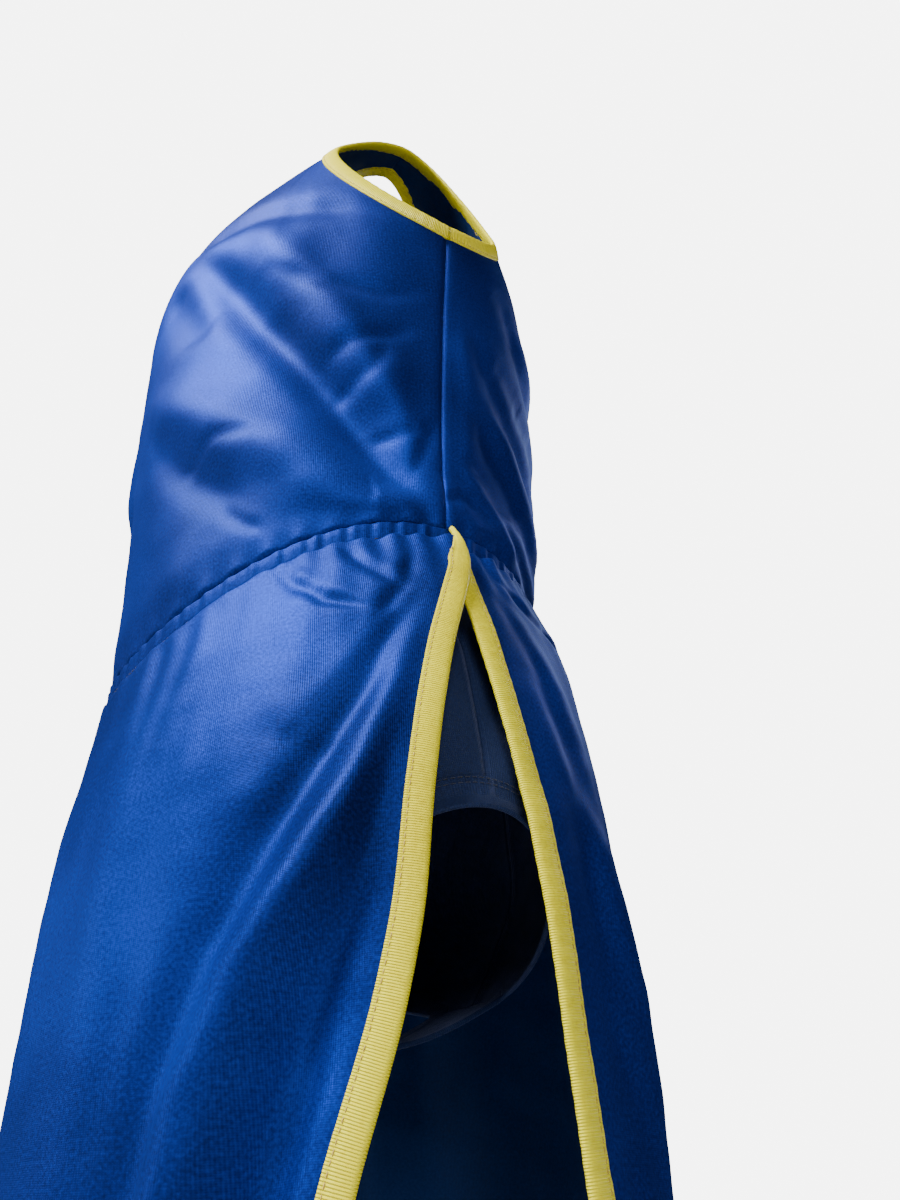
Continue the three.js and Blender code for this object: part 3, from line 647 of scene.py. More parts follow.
def knitMaterial(name, look):
    # a knit: rows of tiny loops along the cloth, slow colour variation and a satin face
    material, nodes, links, shader = newMaterial(name)
    uv = addNode(nodes, "ShaderNodeUVMap", uv_map="cloth").outputs["UV"]
    place = addNode(nodes, "ShaderNodeTexCoord").outputs["Object"]
    split = addNode(nodes, "ShaderNodeSeparateXYZ")
    links.new(uv, split.inputs["Vector"])
    across = mathNode(nodes, links, "MULTIPLY", split.outputs["X"], 2 * math.pi / look["rib"])
    down = mathNode(nodes, links, "MULTIPLY", split.outputs["Y"], 2 * math.pi / look["row"])
    ribs = mathNode(nodes, links, "SINE", across)
    rows = mathNode(nodes, links, "SINE", down)
    loops = mathNode(nodes, links, "MULTIPLY_ADD", ribs, look["ribShare"])
    nodes[loops.node.name].inputs[2].default_value = 0.5
    weave = mathNode(nodes, links, "MULTIPLY", rows, 1 - look["ribShare"])
    height = mathNode(nodes, links, "ADD", loops, weave)
    fibres = noiseNode(nodes, links, uv, look["fibre"], 2.0, (1.0, 0.35, 1.0))
    height = mathNode(nodes, links, "ADD", height, mathNode(nodes, links, "MULTIPLY", fibres, 0.9))
    patches = noiseNode(nodes, links, place, 7.0, 3.0)
    specks = noiseNode(nodes, links, uv, look["fibre"] * 0.8, 3.0)
    blend = mathNode(nodes, links, "MULTIPLY", patches, 0.6)
    blend = mathNode(nodes, links, "ADD", blend, mathNode(nodes, links, "MULTIPLY", specks, 0.4))
    color = rampNode(nodes, links, blend, [(0.36, look["dark"]), (0.5, look["color"]),
                                           (0.66, look["light"])])
    links.new(color, shader.inputs["Base Color"])
    rough = addNode(nodes, "ShaderNodeMapRange")
    rough.inputs["To Min"].default_value = look["rough"] - 0.05
    rough.inputs["To Max"].default_value = look["rough"] + 0.06
    links.new(blend, rough.inputs["Value"])
    links.new(rough.outputs["Result"], shader.inputs["Roughness"])
    fine = addNode(nodes, "ShaderNodeBump")
    fine.inputs["Strength"].default_value = look["bump"]
    fine.inputs["Distance"].default_value = look["depth"]
    links.new(height, fine.inputs["Height"])
    crease = noiseNode(nodes, links, place, 34.0, 4.0)
    soft = addNode(nodes, "ShaderNodeBump")
    soft.inputs["Strength"].default_value = look["crumple"]
    soft.inputs["Distance"].default_value = 0.004
    links.new(crease, soft.inputs["Height"])
    links.new(fine.outputs["Normal"], soft.inputs["Normal"])
    links.new(soft.outputs["Normal"], shader.inputs["Normal"])
    shader.inputs["Specular IOR Level"].default_value = look["specular"]
    shader.inputs["Specular Tint"].default_value = (*look["tint"], 1)
    shader.inputs["Metallic"].default_value = look["metal"]
    shader.inputs["Anisotropic"].default_value = look["grain"]
    shader.inputs["Sheen Weight"].default_value = look["sheen"]
    shader.inputs["Sheen Roughness"].default_value = 0.4
    shader.inputs["Sheen Tint"].default_value = (*look["sheenColor"], 1)
    shader.inputs["Coat Weight"].default_value = look["coat"]
    shader.inputs["Coat Roughness"].default_value = 0.35
    return material


satinLook = {
    "dark": (0.002, 0.008, 0.085), "color": (0.005, 0.018, 0.19), "light": (0.012, 0.040, 0.36),
    "rib": 0.0009, "row": 0.0007, "ribShare": 0.75, "fibre": 900.0, "rough": 0.50,
    "bump": 0.22, "depth": 0.0002, "crumple": 0.14, "specular": 0.22, "grain": 0.35,
    "sheen": 0.02, "sheenColor": (0.15, 0.4, 1.0), "coat": 0.0, "tint": (0.24, 0.50, 1.0),
    "metal": 0.5,
}
reverseLook = {
    **satinLook, "dark": (0.004, 0.012, 0.060), "color": (0.006, 0.020, 0.095),
    "light": (0.010, 0.030, 0.13), "rough": 0.66, "specular": 0.3, "sheen": 0.05, "metal": 0.0,
}
navyLook = {
    "dark": (0.005, 0.011, 0.045), "color": (0.008, 0.018, 0.072), "light": (0.013, 0.028, 0.10),
    "rib": 0.0011, "row": 0.0009, "ribShare": 0.6, "fibre": 700.0, "rough": 0.62,
    "bump": 0.5, "depth": 0.0003, "crumple": 0.05, "specular": 0.35, "grain": 0.0,
    "sheen": 0.25, "sheenColor": (0.35, 0.42, 0.8), "coat": 0.0, "tint": (0.6, 0.7, 1.0),
    "metal": 0.0,
}
yellowLook = {
    "dark": (0.86, 0.72, 0.006), "color": (1.0, 0.88, 0.012), "light": (1.0, 0.94, 0.04),
    "rib": 0.0010, "row": 0.02, "ribShare": 0.97, "fibre": 600.0, "rough": 0.42,
    "bump": 0.75, "depth": 0.0003, "crumple": 0.05, "specular": 0.5, "grain": 0.0,
    "sheen": 0.03, "sheenColor": (1.0, 0.9, 0.3), "coat": 0.0, "tint": (1.0, 0.88, 0.3),
    "metal": 0.0,
}
ribbonLook = {
    "dark": (0.62, 0.61, 0.57), "color": (0.76, 0.75, 0.71), "light": (0.86, 0.85, 0.82),
    "rib": 0.0006, "row": 0.0006, "ribShare": 0.5, "fibre": 800.0, "rough": 0.5,
    "bump": 0.4, "depth": 0.0001, "crumple": 0.05, "specular": 0.4, "grain": 0.0,
    "sheen": 0.2, "sheenColor": (1.0, 1.0, 1.0), "coat": 0.0, "tint": (1.0, 1.0, 1.0),
    "metal": 0.0,
}
tapeLook = {**navyLook, "dark": (0.008, 0.028, 0.12), "color": (0.012, 0.042, 0.18),
            "light": (0.02, 0.06, 0.24)}
satin = knitMaterial("satinFace", satinLook)
satinReverse = knitMaterial("satinReverse", reverseLook)
navyKnit = knitMaterial("navyKnit", navyLook)
yellowSatin = knitMaterial("yellowBinding", yellowLook)
ribbon = knitMaterial("labelRibbon", ribbonLook)
zipTape = knitMaterial("zipTapeWeave", tapeLook)


def threadMaterial(name, dark, light, rough=0.55):
    material, nodes, links, shader = newMaterial(name)
    place = addNode(nodes, "ShaderNodeTexCoord").outputs["Object"]
    twist = noiseNode(nodes, links, place, 2200.0, 2.0)
    color = rampNode(nodes, links, twist, [(0.35, dark), (0.65, light)])
    links.new(color, shader.inputs["Base Color"])
    bump = addNode(nodes, "ShaderNodeBump")
    bump.inputs["Strength"].default_value = 0.4
    bump.inputs["Distance"].default_value = 0.0001
    links.new(twist, bump.inputs["Height"])
    links.new(bump.outputs["Normal"], shader.inputs["Normal"])
    shader.inputs["Roughness"].default_value = rough
    shader.inputs["Sheen Weight"].default_value = 0.3
    return material


goldThread = threadMaterial("goldThread", (0.42, 0.27, 0.03), (0.60, 0.43, 0.07))
blueThread = threadMaterial("blueThread", (0.008, 0.022, 0.10), (0.016, 0.045, 0.19))
navyThread = threadMaterial("navyThread", (0.003, 0.006, 0.026), (0.008, 0.016, 0.06))


def lacquerMaterial(name, color, metallic, rough):
    material, nodes, links, shader = newMaterial(name)
    place = addNode(nodes, "ShaderNodeTexCoord").outputs["Object"]
    wear = noiseNode(nodes, links, place, 900.0, 4.0)
    worn = tuple(min(1.0, c * 1.7 + 0.02) for c in color)
    tint = rampNode(nodes, links, wear, [(0.45, color), (0.75, worn)])
    links.new(tint, shader.inputs["Base Color"])
    gloss = addNode(nodes, "ShaderNodeMapRange")
    gloss.inputs["To Min"].default_value = rough
    gloss.inputs["To Max"].default_value = rough + 0.2
    links.new(wear, gloss.inputs["Value"])
    links.new(gloss.outputs["Result"], shader.inputs["Roughness"])
    shader.inputs["Metallic"].default_value = metallic
    return material


zipMetal = lacquerMaterial("zipMetal", (0.03, 0.08, 0.30), 0.7, 0.28)
zipNylon = lacquerMaterial("zipNylon", (0.018, 0.06, 0.24), 0.0, 0.42)
print("materials made")

stitch = {
    "binding": {"pitch": 0.0030, "length": 0.0023, "thread": 0.00055},
    "seam": {"pitch": 0.0032, "length": 0.0024, "thread": 0.00045},
}


def rideSkirt(obj):
    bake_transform(obj)
    return obj


def rideDress(obj):
    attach(obj, "dress")
    return obj


# ---------- bodice ----------
bodice = {
    "columns": 104, "rows": 150,     # for half the front
    "puff": 0.0022,                   # how far it blouses over the waist seam
    "pucker": 0.0007,
    "seamDip": 0.0009,
    "seamHalf": 0.0022,
    "waistTuck": 0.0016,             # how far the bottom edge turns in under the casing
    "gathers": 46,                   # puckers to a radian along the waist
    "grow": 0.012,                   # how much wider and longer the cloth is cut
    "frontBend": 0.9,                # stiffness against bending
    "frontLimit": 0.0026,            # the furthest that any point of the front may move
    "frontSmoothing": 14,
}
ridgeStop = ridge - 0.0004       # front and back meet on top of the shoulder
underarmT = levelOfDrop(bodiceLevels, 0.0, cut["underarmDrop"])
ridgeWidth = bodiceLevels[ridge][3]
armholeAngle = math.acos((cut["neckHalfWidth"] + cut["strapWidth"]) / ridgeWidth)
neckAngle = math.acos(cut["neckHalfWidth"] / ridgeWidth)
armShare, strapShare = 0.45, 0.60


def armholePlace(turn):
    return mix(ridgeStop, underarmT, np.cos(turn)), armholeAngle * np.sin(turn)


def neckPlace(turn, back):
    start = cut["neckBack"] if back else cut["neckFront"]
    t = mix(ridgeStop, start, np.cos(turn))
    return t, math.pi / 2 - (math.pi / 2 - neckAngle) * np.sin(turn)


def topEdge(f, back):
    armT, armA = armholePlace(np.clip(f / armShare, 0, 1) * math.pi / 2)
    strapA = mix(armholeAngle, neckAngle, (f - armShare) / (strapShare - armShare))
    neckT, neckA = neckPlace(np.clip((1 - f) / (1 - strapShare), 0, 1) * math.pi / 2, back)
    t = np.where(f < armShare, armT, np.where(f < strapShare, ridgeStop, neckT))
    angle = np.where(f < armShare, armA, np.where(f < strapShare, strapA, neckA))
    return t, angle


def bodiceRelief(t, angle, drop):
    folded = np.abs(((angle + math.pi) % (2 * math.pi)) - math.pi)
    signed = ((angle + math.pi) % (2 * math.pi)) - math.pi
    folds = bodiceFolds + otherSide(bodiceFolds, 3, 6, 0.9)
    mirrored = [([(-180 - a, d) for a, d in line], w, h) for line, w, h in backFolds]
    relief = foldRelief(folds, signed, drop)
    relief += foldRelief(backFolds + mirrored, signed, drop)
    high = smoothStep((t - 2.6) / 1.2)
    relief += 0.0005 * ripple(4, signed, drop, 0.080) * (1 - 0.7 * high)
    relief += 0.0002 * ripple(9, signed, drop, 0.030) * (1 - 0.6 * high)
    above = np.clip(t, 0, 1)
    sideways = 0.35 + 0.65 * (np.sin(signed) < 0.3)
    relief += bodice["puff"] * np.sin(math.pi * np.clip(above / 0.55, 0, 1)) * sideways
    gathers = np.sin(folded * bodice["gathers"] + 2.2 * ripple(2, signed, drop * 0, 0.09))
    relief += bodice["pucker"] * gathers * above / 0.05 * np.exp(1 - above / 0.05)
    relief -= bodice["waistTuck"] * np.exp(-(above / 0.022) ** 2)
    fromSeam = np.minimum(folded, math.pi - folded) * reach
    relief -= bodice["seamDip"] * np.exp(-(fromSeam / bodice["seamHalf"]) ** 2)
    return relief


def mainRelief(folds, angle, drop, hold):
    signed = ((angle + math.pi) % (2 * math.pi)) - math.pi
    both = folds + otherSide(folds, 3, 7, 0.85)
    return (foldRelief(both, signed, drop) * (1 - 0.75 * hold))[..., None]


def bodiceHalf(back, right):
    v, f = np.meshgrid(np.linspace(0, 1, bodice["rows"] + 1),
                       np.linspace(0, 1, bodice["columns"] + 1), indexing="ij")
    topT, topA = topEdge(f, back)
    t = mix(0.0, topT, v)
    angle = mix(f * math.pi / 2, topA, v)
    if back:
        angle = -angle
    if right:
        angle = math.pi - angle
    points = surface(bodiceLevels, t, angle)
    normal = surfaceNormal(bodiceLevels, t, angle)
    drop = -points[..., 2]
    relief = bodiceRelief(t, angle, drop)
    return points + normal * relief[..., None], normal, angle, drop


def joinHalves(left, right):
    # the right half runs the other way, and shares its middle column with the left
    return [np.concatenate([a, b[:, ::-1][:, 1:]], axis=1) for a, b in zip(left, right)]


frontLeft = bodiceHalf(False, False)
frontRight = bodiceHalf(False, True)
backLeft = bodiceHalf(True, False)
backRight = bodiceHalf(True, True)
bodySpan = (-0.2, 5.6)               # levels of the body that the bodice lies on
frontSheet = joinHalves(frontLeft, frontRight)
hold = sewnEdges(frontSheet[0].shape, 5, 1, 1, 9)
frontSheet[0] = settleCloth(frontSheet[0], hold, 56, 84, bodice["grow"], bodiceLevels,
                            bodySpan, bodice["frontBend"], bodice["frontLimit"],
                            bodice["frontSmoothing"])
frontSheet[0] = frontSheet[0] + frontSheet[1] * mainRelief(
    bodiceMainFolds, frontSheet[2], frontSheet[3], hold)
hold = sewnEdges(backLeft[0].shape, 5, 1, 2, 9)
backLeft = (settleCloth(backLeft[0], hold, 50, 40, bodice["grow"], bodiceLevels, bodySpan),
            *backLeft[1:])
backRight = (settleCloth(backRight[0], hold, 50, 40, bodice["grow"] * 1.1, bodiceLevels,
                         bodySpan), *backRight[1:])
print("bodice settled")
zipSlotHalf = 0.0044                 # half the slot that the slider runs in
zipLength = 0.170


def openForZip(half, right):
    points, normal, angle, drop = half
    points = points.copy()
    sign = -1 if right else 1
    zipLow = zipTop[2] - zipLength * 0.924 - 0.015
    edge = smoothStep((points[..., 2] - zipLow) / 0.012) * zipSlotHalf
    near = np.clip(1 - np.abs(points[..., 0]) / 0.03, 0, 1)
    points[..., 0] += sign * edge * near
    return points, normal, angle, drop


zipTop = surface(bodiceLevels, cut["neckBack"], -math.pi / 2)
backLeft = openForZip(backLeft, False)
backRight = openForZip(backRight, True)

bodiceFrontCloth = gridPiece("bodiceFrontCloth", frontSheet[0], frontSheet[2], frontSheet[3],
                             [satin, satinReverse])
bodiceBackLeftCloth = gridPiece("bodiceBackLeftCloth", backLeft[0], backLeft[2], backLeft[3],
                                [satin, satinReverse])
bodiceBackRightCloth = gridPiece("bodiceBackRightCloth", backRight[0], backRight[2],
                                 backRight[3], [satin, satinReverse])
for piece, node, flat in ((bodiceFrontCloth, "bodice_front", (0.46, 0.48)),
                          (bodiceBackLeftCloth, "bodice_back_left", (0.22, 0.47)),
                          (bodiceBackRightCloth, "bodice_back_right", (0.22, 0.47))):
    rideDress(piece)
    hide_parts(node)
print("bodice made")

# ---------- bindings of the bodice ----------
binding = {"width": 0.0112, "thick": 0.0036, "spacing": 0.0022, "stitchIn": 0.0094}


def topRow(half, first, last):
    points, normal = half[0], half[1]
    return points[-1, first:last], points[-3, first:last], normal[-1, first:last]


def armholeFrames(front, back):
    last = int(round(armShare * bodice["columns"])) + 1
    a = topRow(front, 0, last)
    b = topRow(back, 0, last)
    joined = [np.vstack([x, y[::-1][1:-1]]) for x, y in zip(a, b)]
    return edgeFrames(*joined, binding["spacing"], True)


def neckFrames():
    first = int(round(strapShare * bodice["columns"]))
    pieces = []
    for k in range(3):
        left = topRow(backLeft, first, None)[k][::-1]
        frontL = topRow(frontLeft, first, None)[k]
        frontR = topRow(frontRight, first, None)[k][::-1]
        right = topRow(backRight, first, None)[k]
        pieces.append(np.vstack([left, frontL[1:], frontR[1:], right[1:]]))
    return edgeFrames(*pieces, binding["spacing"], False)


bandShape = boundEdge(binding["width"], binding["thick"])


def bindEdge(name, frames, closed, nodes, place, narrowTop=1.0, plain=0):
    # the first stations, as many as plain says, have no stitching
    wave = 0.00012 * np.sin(np.arange(len(frames[0])) * 1.9)
    along = arcLength(frames[0])
    taper = mix(narrowTop, 1.0, smoothStep(along / 0.036))
    band = sweepBand(name, frames, bandShape, closed, yellowSatin, wave, taper)
    place(band)
    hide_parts(*nodes)
    sewn = [field[plain:] for field in frames]
    for face, lift in (("Outer", 1), ("Inner", -1)):
        thread = stitchRow(f"{name}{face}Stitches", sewn, binding["stitchIn"],
                           lift * binding["thick"] * 0.24, stitch["binding"], goldThread, closed)
        place(thread)
    return band


bindEdge("armholeBindingLeft", armholeFrames(frontLeft, backLeft), True,
         ["armhole_binding_left"], rideDress)
bindEdge("armholeBindingRight", armholeFrames(frontRight, backRight), True,
         ["armhole_binding_right"], rideDress)
bindEdge("neckBinding", neckFrames(), False, ["neck_binding"], rideDress)
print("bodice bindings made")

# ---------- skirt ----------
skirt = {
    "columns": 190, "rows": 200,
    "gather": 0.0020,
    "grow": 0.010,
    "bend": 0.8,
    "limit": 0.0040,
    "smoothing": 8,
    "start": 0.0112,                 # below the waist seam, just under the casing's stitching
}
# where each slit edge runs: (millimetres below the waist seam, degrees from the side)
frontSlit = [(0, 0.2), (12, -2.0), (24, -2.6), (45, 0.6), (80, 6.0), (115, 9.6),
             (155, 12.4), (200, 14.6), (240, 18.5), (290, 25.5), (380, 31), (600, 35)]
backSlit = [(0, -1.0), (20, -1.6), (38, -2.0), (60, -1.0), (90, 0.6), (125, 3.2),
            (160, 5.6), (205, 7.6), (260, 9.4), (400, 13), (600, 17)]


def slitAngle(below, back):
    table = np.array(backSlit if back else frontSlit)
    fine = np.linspace(0, 600, 121)
    smooth = np.interp(fine, table[:, 0], table[:, 1])
    for _ in range(6):
        smooth[1:-1] = (smooth[:-2] + 2 * smooth[1:-1] + smooth[2:]) / 4
    return np.radians(np.interp(below * 1000, fine, smooth))


def skirtRelief(angle, drop, below, back, edge):
    signed = ((angle + math.pi) % (2 * math.pi)) - math.pi
    if back:
        mirrored = [([(-180 - a - 2, d + 8) for a, d in line], w, h)
                    for line, w, h in skirtBackFolds[:-3]]
        folds = skirtBackFolds + mirrored
    else:
        folds = skirtFolds + otherSide(skirtFolds, 2, 4, 0.9)
    relief = foldRelief(folds, signed, drop)
    relief += 0.0015 * ripple(12 + back, signed, drop * 0.35, 0.05)
    relief += 0.0005 * ripple(31 + back, signed, drop, 0.024)
    folded = np.abs(signed)
    wave = np.sin(folded * 58 + 3.0 * ripple(21, signed, drop * 0, 0.07))
    wave += 0.6 * np.sin(folded * 31 + 2.0 * ripple(22, signed, drop * 0, 0.11) + 1.0)
    fade = np.exp(-np.clip(below, 0, 1) / 0.022)
    relief += skirt["gather"] * wave * fade * (0.55 + 0.45 * np.cos(folded * 3))
    near = np.exp(-((edge * reach) / 0.02) ** 2) * np.exp(-np.clip(below, 0, 1) / 0.05)
    relief += (-0.0026 if back else 0.0034) * near
    return relief


def skirtSheet(back):
    v, u = np.meshgrid(np.linspace(0, 1, skirt["rows"] + 1),
                       np.linspace(0, 1, skirt["columns"] + 1), indexing="ij")
    first = 0 * u
    around = -u * math.pi if back else u * math.pi
    for _ in range(5):
        gap = surface(skirtLevels, 0 * u, around)[..., 2] - surface(skirtLevels, first, around)[..., 2]
        rate = surface(skirtLevels, first, around)[..., 2] - surface(
            skirtLevels, first + 0.01, around)[..., 2]
        first = first + (skirt["start"] - gap) / (rate / 0.01)
    t = mix(first, len(skirtLevels) - 1.0, v ** 1.06)
    below = -surface(skirtLevels, t, 0 * t)[..., 2] - waistDrop
    edge = slitAngle(below, back)
    angle = mix(edge, math.pi - edge, u)
    fromEdge = np.minimum(angle - edge, math.pi - edge - angle)
    if back:
        angle = -angle
    points = surface(skirtLevels, t, angle)
    normal = surfaceNormal(skirtLevels, t, angle)
    drop = -points[..., 2]
    relief = skirtRelief(angle, drop, below, back, fromEdge)
    points = points + normal * relief[..., None]
    down = points[::-1]
    hold = sewnEdges(down.shape, 0, None, 6, 10)
    down = settleCloth(down, hold, 84, 70, skirt["grow"], skirtLevels, (0.3, 3.9),
                       skirt["bend"], skirt["limit"], skirt["smoothing"])
    points = down[::-1]
    if not back:
        points = points + normal * mainRelief(skirtMainFolds, angle, drop, hold[::-1])
    return points, normal, angle, drop


hem = {"band": 0.016, "stitchUp": 0.013}


def casingLead(angle, back, clothCorner):
    # each slit binding starts at the waist seam and widens down over the casing to the cloth
    lift = -0.0024 if back else 0.0034
    start = surface(skirtLevels, 0.0, angle) + surfaceNormal(skirtLevels, 0.05, angle) * lift
    start[2] -= 0.0016
    return mix(start, clothCorner, np.linspace(0, 0.85, 5)[:, None])


def makeSkirt(back):
    name = "Back" if back else "Front"
    part = "back" if back else "front"
    points, normal, angle, drop = skirtSheet(back)
    cloth = gridPiece(f"skirt{name}Cloth", points, angle, drop, [satin, satinReverse])
    rideSkirt(cloth)
    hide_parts(f"skirt_{part}_hip", f"skirt_{part}_panel")

    def place(obj):
        return rideSkirt(obj)

    trueNormal = gridNormals(points)
    trueNormal *= np.sign(np.sum(trueNormal * normal, -1, keepdims=True))
    for side, edge, inner in (("Left", 0, 3), ("Right", -1, -4)):
        lead = casingLead(angle[0, edge], back, points[0, edge])
        outward = np.vstack([[trueNormal[0, edge]] * len(lead), trueNormal[:, edge]])
        within = np.vstack([lead + points[0, inner] - points[0, edge], points[:, inner]])
        frames = edgeFrames(np.vstack([lead, points[:, edge]]), within, outward,
                            binding["spacing"], False, 4)
        node = f"slit_binding_{part}_{side.lower()}"
        bindEdge(f"slitBinding{name}{side}", frames, False, [node + "_top", node], place,
                 0.6 if back else 0.2, 12)
    rows = skirt["rows"] + 1
    hemRows = max(3, int(hem["band"] / (hemDrop - waistDrop) * rows))
    facing = points[-hemRows:, 4:-4] - trueNormal[-hemRows:, 4:-4] * 0.0014
    facingPiece = gridPiece(f"skirt{name}HemFacing", facing, angle[-hemRows:, 4:-4],
                            drop[-hemRows:, 4:-4], [satinReverse, satin])
    place(facingPiece)
    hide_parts(f"skirt_{part}_hem")
    line = points[-hemRows, 5:-5]
    frames = edgeFrames(line, points[-hemRows - 3, 5:-5], trueNormal[-hemRows, 5:-5],
                        0.002, False, 2)
    thread = stitchRow(f"skirt{name}HemStitches", frames, 0, 0.0001, stitch["seam"], blueThread)
    place(thread)
    return cloth


makeSkirt(False)
makeSkirt(True)
print("skirt made")

# ---------- waist casing ----------
casing = {"height": 0.0118, "thick": 0.0030, "pucker": 0.00035, "stations": 1000}


def waistRing(drop, count):
    angle = np.linspace(0, 2 * math.pi, count, endpoint=False)
    signed = ((angle + math.pi) % (2 * math.pi)) - math.pi
    points = surface(skirtLevels, 0 * angle, signed)
    points[:, 2] -= drop
    outward = surfaceNormal(skirtLevels, 0 * angle + 0.02, signed)
    outward[:, 2] = 0
    down = np.tile([0.0, 0.0, -1.0], (count, 1))
    return points, down, unit(outward), signed


ring, down, ringOut, ringAngle = waistRing(0.0002, casing["stations"])
slowWave = ripple(5, ringAngle, ringAngle * 0, 0.06)
puckers = casing["pucker"] * (np.sin(ringAngle * 74 + 2 * slowWave)
                              + 0.5 * np.sin(ringAngle * 131 + 1.0)
                              + 0.6 * ripple(6, ringAngle, ringAngle * 0, 0.012))
casingShape = roundedSection(casing["height"], casing["thick"], 0.0, 6)
casingBand = sweepBand("waistCasingCloth", (ring, down, ringOut), casingShape, True, satin,
                       puckers)
rideDress(casingBand)
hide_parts("waist_casing")
casingStitches = stitchRow("waistCasingStitches", (ring, down, ringOut), 0.0104, 0.0012,
                           stitch["seam"], navyThread, True)
rideDress(casingStitches)
print("waist casing made")

# ---------- shorts ----------
shortsCut = {
    "inset": 0.009, "sideLength": 0.157, "bandHeight": 0.020, "legBand": 0.014,
    "gussetWidth": 0.070, "crotch": 0.052, "sag": 0.026, "columns": 60, "rows": 60,
}
shortsWide = waistWidth - shortsCut["inset"]
legDrop = waistDrop + shortsCut["sideLength"]
crotchDrop = legDrop + shortsCut["crotch"]
shortsStart = waistDrop + 0.0165 + shortsCut["bandHeight"]
shortsLevels = np.array([
    (shortsStart, shortsStart + cut["waistDipFront"], shortsStart + 0.012,
     shortsWide + 0.008, 0.113, 0.109),
    (mix(shortsStart, legDrop, 0.45), mix(shortsStart, legDrop, 0.76),
     mix(shortsStart, legDrop, 0.55), shortsWide + 0.025, 0.119, 0.116),
    (mix(shortsStart, legDrop, 0.8), legDrop + 0.006, legDrop - 0.004, shortsWide + 0.033,
     0.110, 0.114),
    (legDrop, crotchDrop, crotchDrop, shortsWide + 0.036, 0.076, 0.084),
])
legT = len(shortsLevels) - 1.0
gussetAngle = math.acos(shortsCut["gussetWidth"] / 2 / shortsLevels[-1][3])


def gussetPoints(f, x):
    side = math.sin(gussetAngle)
    y = mix(-shortsLevels[-1][4] * side, shortsLevels[-1][5] * side, f)
    start = legDrop + (crotchDrop - legDrop) * side * side
    z = -start - shortsCut["sag"] * np.sin(math.pi * f)
    return np.stack([x + 0 * f, y, z], -1)


def shortsPanel(name, back, right, node):
    v, u = np.meshgrid(np.linspace(0, 1, shortsCut["rows"] + 1),
                       np.linspace(0, 1, shortsCut["columns"] + 1), indexing="ij")
    t = v * legT
    angle = u * math.pi / 2
    fromSide = angle.copy()
    fromMiddle = math.pi / 2 - angle
    if back:
        angle = -angle
    if right:
        angle = math.pi - angle
    signed = ((angle + math.pi) % (2 * math.pi)) - math.pi
    points = surface(shortsLevels, t, angle)
    normal = surfaceNormal(shortsLevels, t, angle)
    drop = -points[..., 2]
    relief = 0.0010 * ripple(41, signed, drop, 0.045) + 0.0004 * ripple(43, signed, drop, 0.018)
    relief -= 0.0010 * np.exp(-(fromSide * reach / 0.0016) ** 2)
    relief -= 0.0010 * np.exp(-(fromMiddle * reach / 0.0016) ** 2)
    points = points + normal * relief[..., None]
    panel = gridPiece(name, points, signed, drop, [navyKnit, navyKnit])
    rideDress(panel)
    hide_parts(node)


for back in (False, True):
    for right in (False, True):
        name = f"shorts{'Back' if back else 'Front'}{'Right' if right else 'Left'}Cloth"
        node = f"shorts_{'back' if back else 'front'}_{'right' if right else 'left'}"
        shortsPanel(name, back, right, node)


def gussetPiece():
    f, x = np.meshgrid(np.linspace(0, 1, 41), np.linspace(-1, 1, 25), indexing="ij")
    half = shortsCut["gussetWidth"] / 2
    points = gussetPoints(f, x * half)
    points[..., 2] -= 0.0006 * ripple(51, x, f * 0.1, 0.04)
    angle = 0 * f - math.pi / 2 + x * 0.01
    index = np.arange(f.size).reshape(f.shape)
    corners = [index[:-1, :-1], index[:-1, 1:], index[1:, 1:], index[1:, :-1]]
    faces = np.stack([c.ravel() for c in corners], 1).tolist()
    uvs = np.stack([x * half, f * 0.17], -1).reshape(-1, 2)
    obj = makeMesh("shortsGussetCloth", points.reshape(-1, 3), faces, uvs)
    obj.data.materials.append(navyKnit)
    selectOnly(obj)
    thick = obj.modifiers.new("thickness", "SOLIDIFY")
    thick.thickness = cut["clothThick"] * 1.6
    thick.offset = 0
    bpy.ops.object.modifier_apply(modifier=thick.name)
    fixNormals(obj)
    smoothShade(obj)
    return obj


gusset = gussetPiece()
rideDress(gusset)
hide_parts("shorts_gusset")


def legFrames(right):
    angle = np.linspace(0, gussetAngle, 40)
    front = surface(shortsLevels, legT + 0 * angle, angle)
    frontOut = surfaceNormal(shortsLevels, legT + 0 * angle, angle)
    f = np.linspace(0, 1, 30)[1:-1]
    middle = gussetPoints(f, shortsCut["gussetWidth"] / 2)
    ahead = gussetPoints(np.clip(f + 0.01, 0, 1), 0.0) - gussetPoints(np.clip(f - 0.01, 0, 1), 0.0)
    middleOut = unit(np.stack([0 * f, ahead[:, 2], -ahead[:, 1]], -1))
    backAngle = -gussetAngle * (1 - np.linspace(0, 1, 40)[:-1])
    back = surface(shortsLevels, legT + 0 * backAngle, backAngle)
    backOut = surfaceNormal(shortsLevels, legT + 0 * backAngle, backAngle)
    path = np.vstack([front, middle, back])
    out = np.vstack([frontOut, middleOut, backOut])
    centre = np.array([shortsLevels[-1][3] * 0.62, 0, -legDrop - 0.04])
    away = path + unit(path - centre) * 0.01
    if right:
        flip = np.array([-1, 1, 1])
        path, out, away = path * flip, out * flip, away * flip
    return edgeFrames(path, away, out, 0.0025, True, 10)


